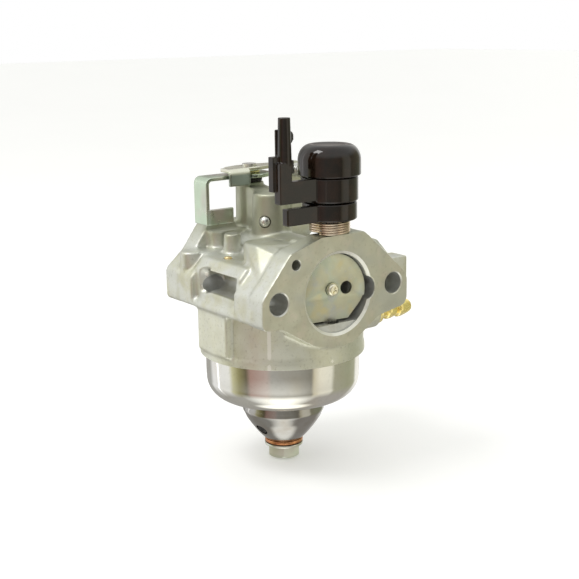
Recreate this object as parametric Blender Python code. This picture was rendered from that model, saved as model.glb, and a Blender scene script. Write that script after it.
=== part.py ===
"""Float-bowl carburetor of a small engine, built piece by piece.

Frame: origin at the centre of the throat on the engine flange face, +Y out of that face,
+X towards the fuel inlet, +Z up. All sizes below are in millimetres.
"""

import math

import bmesh
import bpy
from mathutils import Matrix, Vector

MM = 0.001
GAP = 0.3

# Driving dimensions.
BODY_LENGTH = 54.5
CHOKE_Y = -50.3
THROTTLE_Y = -8.0
BOWL_Y = -25.0
FRONT_Y = -BODY_LENGTH

# Throat.
BARREL_R = 15.0
CHOKE_BORE_R = 12.4
CHOKE_PLATE_R = 12.1
CHOKE_FLAT_Z = -9.4
LEDGE_Y = -53.4
LEDGE_END = -33.5
VENTURI_R = 7.5
THROTTLE_BORE_R = 9.5

# Flanges, ears and stud tunnels.
FLANGE_T = 7.0
STUD_X = 22.45
STUD_HOLE_R = 3.4
EAR_X = 28.7
EAR_BOTTOM = -6.9
FRONT_EAR_LENGTH = 15.5
REAR_EAR_LENGTH = 15.4
RAIL_X = 26.6
SHELF_Z = 8.8
WINDOW_LOW = -1.3
WINDOW_HIGH = 5.5
WINDOW_FRONT = -38.0
WINDOW_REAR = -18.0
FLARE_REAR = -15.0

# Upright shafts and their bosses.
SHAFT_R = 2.4
SHAFT_HOLE_R = 2.8
SHAFT_BOTTOM = -13.2
SHAFT_HOLE_BOTTOM = -13.9
THROTTLE_BOSS_R = 4.7
THROTTLE_BOSS_TOP = 30.0
TOWER_Y = -20.1
TOWER_R = 6.0
TOWER_TOP = 27.6
CHOKE_BOSS_TOP = 18.4

# Skirt, bowl and sediment cup.
SKIRT_R = 27.2
SKIRT_TOP = -6.6
SKIRT_ROOF = -15.6
SKIRT_BOTTOM = -23.4
PANEL_BOTTOM = -20.9
RELIEF_LOW = -14.6
BOWL_R = 25.4
BOWL_WALL = 0.7
BOWL_RIM = -17.2
BOWL_BOTTOM = -39.2
BOWL_CORNER = 7.0
CUP_R = 13.4
CUP_TOP = BOWL_BOTTOM - GAP
CUP_BOTTOM = -54.5
STEM_R = 5.0
STEM_BOTTOM = -38.0
BOLT_R = 2.9
WASHER_BOTTOM = -55.9
BOLT_HEAD_TOP = -57.1
BOLT_BOTTOM = -61.1

# Throttle lever.
LEVER_T = 1.2
STRAP_X = -19.5
STRAP_HALF = 3.75
STRAP_LOW = 17.6
LEVER_Z = 32.9
TOP_PLATE_LOW = 33.9
TOP_PLATE_TOP = 35.1

# Choke levers.
CHOKE_REST_DEG = 7.0
CHOKE_SCREW_Z = 0.8
AIR_HOLE_X = 5.2
AIR_HOLE_Z = 0.8
AIR_HOLE_R = 2.05
LOWER_BARREL_R = 8.4
UPPER_BARREL_R = 8.75
CAP_R = 9.6
CAP_ROUND_R, CAP_ROUND_Z = 3.9, 4.8
LOWER_BARREL_Z = (22.8, 28.2)
UPPER_BARREL_Z = (28.5, 35.9)
CAP_Z = (36.2, 45.5)
POST_R = 2.1
POST_X = -18.1
POST_Y = -52.2
POST_TOP = 54.4
ARM_NEAR_Y = -54.15
ARM_FAR_Y = -51.35
FIN_LEFT = -19.1
FIN_NEAR_Y = -49.5
FIN_FAR_Y = -48.6
FIN_TOP = 50.8

# Float and needle.
FLOAT_HINGE_X = 19.0
FLOAT_HINGE_Z = -19.2
NEEDLE_X = 13.5

# Adjusting screws and fuel pipe.
STOP_X = 7.7
STOP_Z = 34.5
PILOT_Y = -12.4
PILOT_Z = 13.4
FUEL_Y = -42.5
FUEL_Z = -12.3


# ---------------------------------------------------------------- basic shapes

def clear_scene():
    for old in list(bpy.data.objects):
        bpy.data.objects.remove(old, do_unlink=True)


def solid(name, bm):
    """Turn a bmesh in millimetres into a working object with its faces pointing out."""
    bmesh.ops.remove_doubles(bm, verts=bm.verts, dist=1e-5)
    bmesh.ops.recalc_face_normals(bm, faces=bm.faces)
    mesh = bpy.data.meshes.new(name)
    bm.to_mesh(mesh)
    bm.free()
    obj = bpy.data.objects.new(name, mesh)
    bpy.context.collection.objects.link(obj)
    return obj


def axis_frame(point, direction):
    """A matrix that puts local +Z on the given direction, with its origin at the point."""
    turn = Vector(direction).normalized().to_track_quat("Z", "Y").to_matrix().to_4x4()
    return Matrix.Translation(point) @ turn


def turned(name, profile, point=(0, 0, 0), direction=(0, 0, 1), segments=32):
    """A body of revolution from (radius, height) points; a closed loop of them is a ring."""
    bm = bmesh.new()
    ring = profile[0][0] > 0 and profile[-1][0] > 0
    rows = []
    for radius, height in profile:
        if radius <= 0:
            continue
        row = []
        for k in range(segments):
            angle = 2 * math.pi * (k + 0.5) / segments
            row.append(bm.verts.new((radius * math.cos(angle), radius * math.sin(angle), height)))
        rows.append(row)
    pairs = list(zip(rows, rows[1:]))
    if ring:
        pairs.append((rows[-1], rows[0]))
    else:
        bm.faces.new(rows[0])
        bm.faces.new(rows[-1])
    for low, high in pairs:
        for k in range(segments):
            j = (k + 1) % segments
            bm.faces.new((low[k], low[j], high[j], high[k]))
    bm.transform(axis_frame(point, direction))
    return solid(name, bm)


def rod(name, start, end, radius, end_radius=None, segments=24):
    """A round bar, or a cone where the end radius differs."""
    start, end = Vector(start), Vector(end)
    length = (end - start).length
    last = radius if end_radius is None else end_radius
    profile = [(0, 0), (radius, 0), (last, length), (0, length)]
    return turned(name, profile, start, end - start, segments)


def box(name, low, high):
    bm = bmesh.new()
    bmesh.ops.create_cube(bm, size=1.0)
    size = [b - a for a, b in zip(low, high)]
    centre = [(a + b) / 2 for a, b in zip(low, high)]
    bmesh.ops.scale(bm, vec=size, verts=bm.verts)
    bmesh.ops.translate(bm, vec=centre, verts=bm.verts)
    return solid(name, bm)


def rounded(corners, steps=4):
    """A closed outline from (u, v, radius) corners, each corner cut to an arc."""
    outline = []
    count = len(corners)
    for k, (u, v, radius) in enumerate(corners):
        here = Vector((u, v))
        before = (Vector(corners[k - 1][:2]) - here).normalized()
        after = (Vector(corners[(k + 1) % count][:2]) - here).normalized()
        half = before.angle(after) / 2
        if radius <= 0 or abs(half - math.pi / 2) < 0.02:
            outline.append((u, v))
            continue
        reach = radius / math.tan(half)
        centre = here + (before + after).normalized() * radius / math.sin(half)
        first = here + before * reach - centre
        last = here + after * reach - centre
        sweep = first.angle_signed(last)
        for s in range(steps + 1):
            spoke = first.copy()
            spoke.rotate(Matrix.Rotation(-sweep * s / steps, 2))
            outline.append(tuple(centre + spoke))
    return outline


def prism(name, outline, start, end, along="Z"):
    """An outline swept straight: (x, y) along Z, (x, z) along Y, or (y, z) along X."""
    place = {
        "Z": lambda u, v, w: (u, v, w),
        "Y": lambda u, v, w: (u, w, v),
        "X": lambda u, v, w: (w, u, v),
    }[along]
    bm = bmesh.new()
    low = [bm.verts.new(place(u, v, start)) for u, v in outline]
    high = [bm.verts.new(place(u, v, end)) for u, v in outline]
    bm.faces.new(low)
    bm.faces.new(high[::-1])
    for k in range(len(outline)):
        j = (k + 1) % len(outline)
        bm.faces.new((low[k], high[k], high[j], low[j]))
    return solid(name, bm)


def tube(name, path, radius, sides=5):
    """A wire of round section along a list of points, with flat ends."""
    bm = bmesh.new()
    points = [Vector(p) for p in path]
    up = Vector((0, 0, 1))
    rows = []
    for k, point in enumerate(points):
        ahead = points[min(k + 1, len(points) - 1)] - points[max(k - 1, 0)]
        ahead.normalize()
        side = ahead.cross(up)
        if side.length < 0.2:
            side = ahead.cross(Vector((1, 0, 0)))
        side.normalize()
        other = side.cross(ahead)
        row = []
        for s in range(sides):
            angle = 2 * math.pi * s / sides
            row.append(bm.verts.new(point + (side * math.cos(angle) + other * math.sin(angle)) * radius))
        rows.append(row)
    for low, high in zip(rows, rows[1:]):
        for s in range(sides):
            t = (s + 1) % sides
            bm.faces.new((low[s], low[t], high[t], high[s]))
    bm.faces.new(rows[0][::-1])
    bm.faces.new(rows[-1])
    return solid(name, bm)


def helix(centre, direction, radius, pitch, turns, start_deg=0.0, per_turn=12):
    """Points of a coil that starts at the centre point and climbs along the direction."""
    frame = axis_frame(centre, direction)
    points = []
    for k in range(int(turns * per_turn) + 1):
        angle = math.radians(start_deg) + 2 * math.pi * k / per_turn
        local = Vector((radius * math.cos(angle), radius * math.sin(angle), pitch * k / per_turn))
        points.append(frame @ local)
    return points


def combine(target, others, operation):
    """Join shapes to the target or cut them from it, then drop them."""
    for other in others:
        step = target.modifiers.new(other.name, "BOOLEAN")
        step.operation = operation
        step.solver = "EXACT"
        step.object = other
    graph = bpy.context.evaluated_depsgraph_get()
    mesh = bpy.data.meshes.new_from_object(target.evaluated_get(graph))
    target.modifiers.clear()
    old = target.data
    target.data = mesh
    bpy.data.meshes.remove(old)
    for other in others:
        bpy.data.objects.remove(other, do_unlink=True)
    return target


def fuse(target, others):
    return combine(target, others, "UNION")


def cut(target, others):
    return combine(target, others, "DIFFERENCE")


def turn(obj, degrees, pivot, axis="Z"):
    """Turn a shape about an axis through the pivot."""
    spot = Matrix.Translation(pivot)
    spin = Matrix.Rotation(math.radians(degrees), 4, axis)
    obj.data.transform(spot @ spin @ spot.inverted())
    return obj


def finish(obj, name, look, origin=(0, 0, 0)):
    """Name the piece, scale it to metres about its own axis and give it its material."""
    obj.name = name
    obj.data.name = name
    obj.data.transform(Matrix.Scale(MM, 4) @ Matrix.Translation(-Vector(origin)))
    obj.location = Vector(origin) * MM
    colour, metallic, roughness = look
    material = bpy.data.materials.new(name)
    material.use_nodes = True
    shader = material.node_tree.nodes["Principled BSDF"]
    shader.inputs["Base Color"].default_value = (*colour, 1.0)
    shader.inputs["Metallic"].default_value = metallic
    shader.inputs["Roughness"].default_value = roughness
    obj.data.materials.clear()
    obj.data.materials.append(material)
    obj.data.set_sharp_from_angle(angle=math.radians(32))
    return obj


CAST = ((0.50, 0.49, 0.45), 0.85, 0.50)
PLATED = ((0.62, 0.60, 0.55), 1.0, 0.28)
STEEL = ((0.55, 0.56, 0.57), 1.0, 0.32)
BRASS = ((0.72, 0.53, 0.20), 1.0, 0.30)
COPPER = ((0.66, 0.33, 0.17), 1.0, 0.35)
BLACK = ((0.025, 0.02, 0.018), 0.0, 0.22)
RUBBER = ((0.02, 0.02, 0.02), 0.0, 0.7)
SPRING = ((0.48, 0.38, 0.28), 1.0, 0.35)


# ---------------------------------------------------------------- body casting

def front_outline():
    """Air-cleaner flange, as (x, z) corners with radii."""
    corners = [
        (-6.0, 18.4, 2.5), (-18.0, 14.7, 2.5), (-28.6, 2.0, 3.0), (-28.8, -7.4, 2.2),
        (-21.6, -7.9, 4.0), (-9.8, -15.0, 0.0), (-4.5, -16.7, 0.0), (0.5, -17.2, 0.0),
        (6.0, -16.4, 0.0), (11.3, -13.0, 0.0), (16.5, -9.6, 5.0), (28.3, -7.6, 3.0),
        (28.3, 2.4, 4.5), (21.0, 9.0, 6.0), (10.4, 18.4, 3.5),
    ]
    return rounded(corners)


def rear_outline():
    """Engine flange, as (x, z) corners with radii."""
    corners = [
        (-16.0, 17.0, 2.0), (-22.2, 8.7, 3.0), (-28.7, 3.2, 2.5), (-28.7, EAR_BOTTOM, 1.5),
        (-21.0, -8.2, 4.0), (-10.0, -14.4, 0.0), (-5.0, -16.4, 0.0), (0.0, -17.0, 0.0),
        (5.0, -16.4, 0.0), (10.0, -14.4, 0.0), (21.0, -8.2, 4.0), (28.7, EAR_BOTTOM, 1.5),
        (28.7, 3.2, 2.5), (22.2, 8.7, 3.0), (16.0, 17.0, 2.0),
    ]
    return rounded(corners)


def ear_outline(side, outer, slope, top):
    """Section of a stud ear: upright outer face, sloped shoulder, flat top."""
    corners = [
        (side * outer, EAR_BOTTOM, 0.6), (side * outer, slope, 0.6),
        (side * (outer - (top - slope) * 0.9), top, 0.6), (side * 10.0, top, 0.0),
        (side * 10.0, EAR_BOTTOM, 0.0),
    ]
    return rounded(corners)


def stud_tunnel(side):
    """Ears at both flanges, joined by a set-back rail and a low strip."""
    front_end = FRONT_Y + FRONT_EAR_LENGTH
    rear_end = -REAR_EAR_LENGTH
    low_ear = ear_outline(side, EAR_X, 1.4, 12.6)
    return [
        prism("front_ear", low_ear, FRONT_Y + 1.0, front_end, "Y"),
        prism("front_hump", ear_outline(side, EAR_X - 1.6, 3.4, 14.9), FRONT_Y + 1.0, front_end + 3.2, "Y"),
        prism("rear_ear", ear_outline(side, EAR_X, 2.4, 9.6), rear_end, -1.0, "Y"),
        prism("rail", ear_outline(side, RAIL_X, WINDOW_HIGH, SHELF_Z), front_end - 1, rear_end + 1, "Y"),
        prism("strip", ear_outline(side, EAR_X, EAR_BOTTOM + 1.4, -4.1), front_end - 1, rear_end + 1, "Y"),
    ]


def hull(name, points):
    """The convex solid round a cloud of points."""
    bm = bmesh.new()
    for point in points:
        bm.verts.new(point)
    bmesh.ops.convex_hull(bm, input=bm.verts)
    return solid(name, bm)


def window_cutter(side):
    """Side opening of a stud tunnel: a slot with a round far wall and a flared rear end."""
    middle = (WINDOW_LOW + WINDOW_HIGH) / 2
    half = (WINDOW_HIGH - WINDOW_LOW) / 2
    outer = side * (RAIL_X + 4)
    inner = side * 22.2
    low = (min(outer, inner), WINDOW_FRONT, WINDOW_LOW)
    high = (max(outer, inner), WINDOW_REAR, WINDOW_HIGH)
    slot = box("slot", low, high)
    wall_z = middle - 0.2
    far_wall = rod("far_wall", (inner, WINDOW_FRONT, wall_z), (inner, WINDOW_REAR, wall_z), half + 0.2)
    mouth = rounded([(-22.0, -3.4, 0.0), (FLARE_REAR, -3.4, 3.0), (FLARE_REAR, 7.4, 3.6), (-22.0, 7.4, 0.0)])
    throat = rounded([(-22.0, WINDOW_LOW, 0.0), (WINDOW_REAR, WINDOW_LOW, 1.5),
                      (WINDOW_REAR, WINDOW_HIGH, 1.5), (-22.0, WINDOW_HIGH, 0.0)])
    flare = hull("flare", [(side * 29.5, y, z) for y, z in mouth] + [(side * 24.6, y, z) for y, z in throat])
    return fuse(slot, [far_wall, flare])


def casting_bosses():
    """Upright bosses and small lugs on top of the throat."""
    web_side = [
        (THROTTLE_Y, 10), (THROTTLE_Y, 29.4), (-13.6, 28.8), (TOWER_Y, TOWER_TOP), (TOWER_Y, 10),
    ]
    web = prism("web", web_side, -3.6, 3.6, "X")
    return [
        rod("throttle_boss", (0, THROTTLE_Y, 8), (0, THROTTLE_Y, THROTTLE_BOSS_TOP), THROTTLE_BOSS_R + 0.2,
            THROTTLE_BOSS_R, 32),
        rod("throttle_foot", (0, THROTTLE_Y, 8.5), (0, THROTTLE_Y, 14.9), 7.6, THROTTLE_BOSS_R + 0.2, 32),
        rod("tower", (0, TOWER_Y, 8), (0, TOWER_Y, TOWER_TOP), TOWER_R + 0.7, TOWER_R, 32),
        web,
        rod("choke_boss", (0, CHOKE_Y, 8), (0, CHOKE_Y, CHOKE_BOSS_TOP), 3.9),
        box("choke_pad", (-9.5, -49.0, 8), (9.5, -42.5, 16.6)),
        box("spring_lug", (6.9, -48.6, 12), (9.4, -45.4, 22.4)),
        rod("passage_rib", (-13.5, -16.9, 5), (-13.5, -16.9, 13.6), 3.3, 2.3),
        box("rear_shoulder", (-15.5, -9.5, 5), (15.5, -1.0, 12.8)),
        box("stop_lug", (2.0, -23.0, 20.0), (10.6, -19.0, 37.0)),
        rod("pilot_boss", (9.0, -12.4, 13.4), (21.0, -12.4, 13.4), 3.4),
        box("inlet_housing", (15.0, -48.0, -8.2), (34.6, -40.5, 6.4)),
        rod("inlet_boss", (12.0, FUEL_Y, FUEL_Z), (24.0, FUEL_Y, FUEL_Z), 4.8),
    ]


def skirt():
    """Round skirt over the bowl's rim, with the flat panel on its left."""
    block = rod("skirt", (0, BOWL_Y, SKIRT_BOTTOM), (0, BOWL_Y, SKIRT_TOP), SKIRT_R, segments=64)
    panel = box("panel", (-27.7, BOWL_Y - 8.3, PANEL_BOTTOM), (-20.0, BOWL_Y + 8.3, SKIRT_TOP + 0.5))
    return [block, panel]


def bowl_cavity():
    return rod("cavity", (0, BOWL_Y, SKIRT_BOTTOM - 1), (0, BOWL_Y, SKIRT_ROOF), BOWL_R + GAP, segments=64)


def chamber_fittings():
    """What hangs from the float chamber's roof: stem, seat boss, pilot stem and pin posts."""
    pieces = [
        rod("stem", (0, BOWL_Y, SKIRT_ROOF + 1), (0, BOWL_Y, STEM_BOTTOM), STEM_R),
        rod("seat_boss", (NEEDLE_X, BOWL_Y, SKIRT_ROOF + 1), (NEEDLE_X, BOWL_Y, -16.6), 3.2),
        rod("pilot_stem", (-11.0, BOWL_Y - 6.5, SKIRT_ROOF + 1), (-11.0, BOWL_Y - 6.5, -19.6), 2.6),
    ]
    for offset in (-6.2, 4.2):
        low = (FLOAT_HINGE_X - 1.9, BOWL_Y + offset, FLOAT_HINGE_Z - 1.9)
        high = (FLOAT_HINGE_X + 1.9, BOWL_Y + offset + 2.0, SKIRT_ROOF + 1)
        pieces.append(box("pin_post", low, high))
    return pieces


def throat_cutter():
    """Choke bore, venturi and throttle bore in one turned shape along Y.

    A ledge fills the foot of the choke bore behind its mouth, just under the plate's straight edge.
    """
    throat = turned("throat", [
        (0, FRONT_Y - 1), (CHOKE_BORE_R, FRONT_Y - 1), (CHOKE_BORE_R, -40.5), (VENTURI_R, -28.0),
        (VENTURI_R, -24.0), (THROTTLE_BORE_R, -16.0), (THROTTLE_BORE_R, 1), (0, 1),
    ], direction=(0, 1, 0), segments=48)
    low = (-CHOKE_BORE_R, LEDGE_Y, -CHOKE_BORE_R - 1)
    high = (CHOKE_BORE_R, LEDGE_END, CHOKE_FLAT_Z - GAP)
    ledge = box("ledge", low, high)
    return cut(throat, [ledge])


def drilled_holes():
    """Every drilled hole of the casting."""
    holes = [
        rod("throttle_hole", (0, THROTTLE_Y, SHAFT_HOLE_BOTTOM), (0, THROTTLE_Y, THROTTLE_BOSS_TOP + 1),
            SHAFT_HOLE_R),
        rod("choke_hole", (0, CHOKE_Y, SHAFT_HOLE_BOTTOM), (0, CHOKE_Y, CHOKE_BOSS_TOP + 1), SHAFT_HOLE_R),
        rod("vent_hole", (-16.0, FRONT_Y - 1, 11.1), (-16.0, FRONT_Y + 11, 11.1), 1.6, segments=20),
        rod("air_pocket", (10.8, FRONT_Y - 1, 0.1), (10.8, FRONT_Y + 10.5, 0.1), 3.9),
        rod("nozzle_hole", (0, BOWL_Y, 0), (0, BOWL_Y, STEM_BOTTOM - 1), 2.5),
        rod("bolt_hole", (0, BOWL_Y, -35.0), (0, BOWL_Y, STEM_BOTTOM - 1), BOLT_R + GAP),
        rod("seat_hole", (NEEDLE_X, BOWL_Y, -12.6), (NEEDLE_X, BOWL_Y, -17.5), 2.3, segments=20),
        rod("pilot_hole", (-11.0, BOWL_Y - 6.5, -12.6), (-11.0, BOWL_Y - 6.5, -20.5), 1.5, segments=16),
        rod("inlet_hole", (16.5, FUEL_Y, FUEL_Z), (25.0, FUEL_Y, FUEL_Z), 2.6),
        rod("pilot_screw_hole", (11.5, -12.4, 13.4), (22.0, -12.4, 13.4), 1.5, segments=16),
        rod("stop_screw_hole", (7.7, -24.0, 34.5), (7.7, -18.0, 34.5), 1.7, segments=16),
        rod("float_pin_hole", (FLOAT_HINGE_X, BOWL_Y - 7, FLOAT_HINGE_Z),
            (FLOAT_HINGE_X, BOWL_Y + 7, FLOAT_HINGE_Z), 1.05, segments=12),
    ]
    for side in (-1, 1):
        x = side * STUD_X
        holes.append(rod("stud_hole", (x, FRONT_Y - 1, 0.1), (x, 1, 0.1), STUD_HOLE_R))
        holes.append(window_cutter(side))
    return holes


BALL_AT = Vector((-5.2, TOWER_Y - 3.45, 18.8))
BALL_OUT = Vector((-0.83, -0.556, 0.0))
PLUG_AT = Vector((-19.6, -23.5, SHELF_Z))


def plug_seats():
    """Seats of the two pressed-in passage plugs."""
    return [
        rod("ball_seat", BALL_AT - BALL_OUT * 1.2, BALL_AT + BALL_OUT * 4, 2.1, segments=20),
        rod("plug_seat", PLUG_AT - Vector((0, 0, 2)), PLUG_AT + Vector((0, 0, 2)), 1.3, segments=16),
    ]


def carburetor_body():
    body = rod("body", (0, FRONT_Y, 0), (0, 0, 0), BARREL_R, segments=48)
    parts = [
        prism("front_flange", front_outline(), FRONT_Y, FRONT_Y + FLANGE_T, "Y"),
        prism("rear_flange", rear_outline(), -FLANGE_T, 0.0, "Y"),
    ]
    for side in (-1, 1):
        parts += stud_tunnel(side)
    fuse(body, parts + skirt() + casting_bosses())
    cut(body, [bowl_cavity()])
    fuse(body, chamber_fittings())
    skirt_relief = box("skirt_relief", (-SKIRT_R, 0.0, RELIEF_LOW), (SKIRT_R, 10.0, 0.0))
    cut(body, [skirt_relief, throat_cutter()] + drilled_holes() + plug_seats())
    return finish(body, "carburetor_body", CAST)


def passage_plugs():
    ball = turned("ball_plug", [(0, -1.0), (1.75, -1.0), (1.75, 0.3), (1.4, 0.95), (0.8, 1.35), (0, 1.5)],
                  BALL_AT, BALL_OUT, 16)
    finish(ball, "ball_plug", STEEL)
    profile = [(0, -1.6), (0.95, -1.6), (0.95, 0.25), (0.6, 0.5), (0, 0.5)]
    plug = turned("passage_plug", profile, PLUG_AT, segments=12)
    finish(plug, "passage_plug", BRASS)


# ---------------------------------------------------------------- bowl group

def arc(centre, radius, start_deg, end_deg, steps):
    """(radius, height) points round a corner of a turned profile."""
    points = []
    for k in range(steps + 1):
        angle = math.radians(start_deg + (end_deg - start_deg) * k / steps)
        points.append((centre[0] + radius * math.cos(angle), centre[1] + radius * math.sin(angle)))
    return points


def float_bowl():
    corner = (BOWL_R - BOWL_CORNER, BOWL_BOTTOM + BOWL_CORNER)
    outside = [(BOWL_R, BOWL_RIM)] + arc(corner, BOWL_CORNER, 0, -90, 6) + [(3.4, BOWL_BOTTOM)]
    inside = [(3.4, BOWL_BOTTOM + BOWL_WALL)] + arc(corner, BOWL_CORNER - BOWL_WALL, -90, 0, 4)
    inside.append((BOWL_R - BOWL_WALL, BOWL_RIM))
    bowl = turned("float_bowl", outside + inside, (0, BOWL_Y, 0), segments=48)
    finish(bowl, "float_bowl", PLATED)


DRAIN_OUT = Vector((-0.80, -0.12, -0.59))
DRAIN_AT = Vector((-10.3, BOWL_Y - 1.6, -49.9))


def sediment_cup():
    outside = [(CUP_R - 0.5, CUP_TOP), (CUP_R - 0.2, -42.7), (CUP_R + 0.3, -43.7), (CUP_R + 0.3, -44.6),
               (12.7, -45.6), (11.3, -48.8), (8.7, -52.1), (6.6, -54.2), (6.1, CUP_BOTTOM), (3.4, CUP_BOTTOM)]
    inside = [(3.4, CUP_BOTTOM + 0.9), (5.7, CUP_BOTTOM + 0.9), (7.8, -51.5), (10.3, -48.4), (11.8, -45.1),
              (CUP_R - 1.3, -42.7), (CUP_R - 1.3, CUP_TOP)]
    cup = turned("sediment_cup", outside + inside, (0, BOWL_Y, 0), segments=32)
    cut(cup, [rod("drain_hole", DRAIN_AT - DRAIN_OUT * 3, DRAIN_AT + DRAIN_OUT * 3, 2.2, segments=20)])
    finish(cup, "sediment_cup", PLATED)
    plug = rod("drain_plug", DRAIN_AT - DRAIN_OUT * 1.6, DRAIN_AT - DRAIN_OUT * 0.2, 1.85, segments=16)
    finish(plug, "drain_plug", RUBBER)


def bowl_fastener():
    low, high = WASHER_BOTTOM, CUP_BOTTOM - GAP
    profile = [(3.4, low), (6.4, low), (6.4, high), (3.4, high)]
    washer = turned("bowl_washer", profile, (0, BOWL_Y, 0), segments=32)
    finish(washer, "bowl_washer", COPPER)
    hexagon = []
    for k in range(6):
        angle = math.radians(233.3 + 60 * k)
        hexagon.append((5.77 * math.cos(angle), BOWL_Y + 5.77 * math.sin(angle)))
    head = prism("bowl_bolt", hexagon, BOLT_BOTTOM, BOLT_HEAD_TOP)
    fuse(head, [
        rod("collar", (0, BOWL_Y, BOLT_HEAD_TOP - 0.1), (0, BOWL_Y, WASHER_BOTTOM - GAP), 6.3, 6.5, 32),
        rod("shank", (0, BOWL_Y, BOLT_HEAD_TOP - 0.1), (0, BOWL_Y, -35.6), BOLT_R, segments=20),
    ])
    finish(head, "bowl_bolt", PLATED)


def bowl_gasket():
    low, high, mid = BOWL_RIM + 0.15, SKIRT_ROOF - 0.15, BOWL_R - 1.1
    profile = [(mid - 0.9, low + 0.1), (mid + 0.9, low + 0.1), (mid + 0.9, high), (mid - 0.9, high)]
    ring = turned("bowl_gasket", profile, (0, BOWL_Y, 0), segments=40)
    finish(ring, "bowl_gasket", RUBBER)


# ---------------------------------------------------------------- jets, float and needle

def jets():
    nozzle = turned("main_nozzle", [
        (0.8, -33.2), (2.1, -33.2), (2.1, -9.0), (1.6, -7.6), (1.6, -3.4), (0.8, -3.4),
    ], (0, BOWL_Y, 0), segments=16)
    finish(nozzle, "main_nozzle", BRASS)
    profile = [(0.5, -35.3), (2.1, -35.3), (2.1, -33.5), (0.5, -33.5)]
    jet = turned("main_jet", profile, (0, BOWL_Y, 0), segments=16)
    finish(jet, "main_jet", BRASS)
    pilot = turned("pilot_jet", [(0.4, -21.4), (1.1, -21.4), (1.1, -13.2), (0.4, -13.2)],
                   (-11.0, BOWL_Y - 6.5, 0), segments=12)
    finish(pilot, "pilot_jet", BRASS)


def float_group():
    hinge = (FLOAT_HINGE_X, BOWL_Y, FLOAT_HINGE_Z)
    ring = turned("float", [
        (8.6, -29.6), (17.5, -31.4), (20.4, -30.0), (20.4, -24.4), (19.4, -23.6), (8.6, -23.6),
    ], (0, BOWL_Y, 0), segments=40)
    arm = box("arm", (9.8, BOWL_Y - 3.0, -24.0), (17.4, BOWL_Y + 3.0, -21.4))
    riser = box("riser", (15.9, BOWL_Y - 3.0, -24.6), (20.9, BOWL_Y + 3.0, FLOAT_HINGE_Z + 1.9))
    fuse(ring, [arm, riser])
    reach = Vector((0, 5.0, 0))
    cut(ring, [rod("pin_hole", Vector(hinge) - reach, Vector(hinge) + reach, 1.1, segments=12)])
    finish(ring, "float", BLACK, hinge)
    reach = Vector((0, 6.4, 0))
    pin = rod("float_pin", Vector(hinge) - reach, Vector(hinge) + reach, 0.75, segments=12)
    finish(pin, "float_pin", STEEL, hinge)
    seat = turned("needle_seat", [(0.9, -16.6), (2.0, -16.6), (2.0, -13.0), (0.9, -13.0)],
                  (NEEDLE_X, BOWL_Y, 0), segments=16)
    finish(seat, "needle_seat", BRASS)
    needle = turned("float_needle", [(0.7, -21.1), (1.3, -20.5), (1.3, -17.8), (0.5, -16.8)],
                    (NEEDLE_X, BOWL_Y, 0), segments=12)
    finish(needle, "float_needle", BRASS, (NEEDLE_X, BOWL_Y, -21.1))


def fuel_inlet_pipe():
    """Barbed pipe: a plain root in the casting, a collar and two barbs."""
    profile = [
        (1.3, 17.5), (2.3, 17.5), (2.3, 24.4), (3.8, 24.4), (3.8, 26.2), (2.4, 26.6), (2.4, 29.0),
        (3.1, 29.4), (3.0, 31.4), (2.4, 33.6), (3.1, 34.0), (3.0, 36.2), (2.2, 39.6), (1.3, 39.6),
    ]
    pipe = turned("fuel_inlet_pipe", profile, (0, FUEL_Y, FUEL_Z), (1, 0, 0), 24)
    finish(pipe, "fuel_inlet_pipe", BRASS)


# ---------------------------------------------------------------- throttle group

THROTTLE_AXIS = (0, THROTTLE_Y, 0)
THROTTLE_OPEN_DEG = 46.0


def throttle_shaft():
    top = TOP_PLATE_TOP + 0.7
    shaft = rod("throttle_shaft", (0, THROTTLE_Y, SHAFT_BOTTOM), (0, THROTTLE_Y, top), SHAFT_R)
    flat = box("flat", (-SHAFT_R, THROTTLE_Y - 4, -9.6), (SHAFT_R, THROTTLE_Y + 0.15, 9.6))
    cut(shaft, [turn(flat, THROTTLE_OPEN_DEG, THROTTLE_AXIS)])
    screw_hole = rod("screw_hole", (0, THROTTLE_Y - 4, 0), (0, THROTTLE_Y + 4, 0), 1.3, segments=12)
    cut(shaft, [turn(screw_hole, THROTTLE_OPEN_DEG, THROTTLE_AXIS)])
    finish(shaft, "throttle_shaft", STEEL, THROTTLE_AXIS)


def butterfly(name, radius, thickness, pivot_y, flat_low, degrees, screw_z=0.0):
    """A round plate on the front flat of a shaft, with an optional straight lower edge."""
    outline = []
    for k in range(36):
        angle = 2 * math.pi * k / 36
        z = radius * math.sin(angle)
        outline.append((radius * math.cos(angle), max(z, flat_low)))
    outline = [p for i, p in enumerate(outline)
               if p[1] > flat_low or outline[i - 1][1] > flat_low or outline[(i + 1) % 36][1] > flat_low]
    plate = prism(name, outline, pivot_y - 0.15 - thickness, pivot_y - 0.15, "Y")
    hole = rod("hole", (0, pivot_y - 4, screw_z), (0, pivot_y + 4, screw_z), 1.3, segments=12)
    cut(plate, [hole])
    return turn(plate, degrees, (0, pivot_y, 0))


def plate_screw(name, pivot_y, thickness, degrees, z=0.0):
    face = pivot_y - 0.15 - thickness
    head = rod(name, (0, face - 1.3, z), (0, face - 0.08, z), 1.8, 2.15, 16)
    fuse(head, [rod("thread", (0, face - 0.5, z), (0, pivot_y + 2.2, z), 1.0, segments=12)])
    return turn(head, degrees, (0, pivot_y, 0))


def throttle_valve():
    plate = butterfly("throttle_plate", THROTTLE_BORE_R - 0.3, 0.8, THROTTLE_Y, -99, THROTTLE_OPEN_DEG)
    finish(plate, "throttle_plate", BRASS, THROTTLE_AXIS)
    screw = plate_screw("throttle_plate_screw", THROTTLE_Y, 0.8, THROTTLE_OPEN_DEG)
    finish(screw, "throttle_plate_screw", STEEL, THROTTLE_AXIS)


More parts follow.
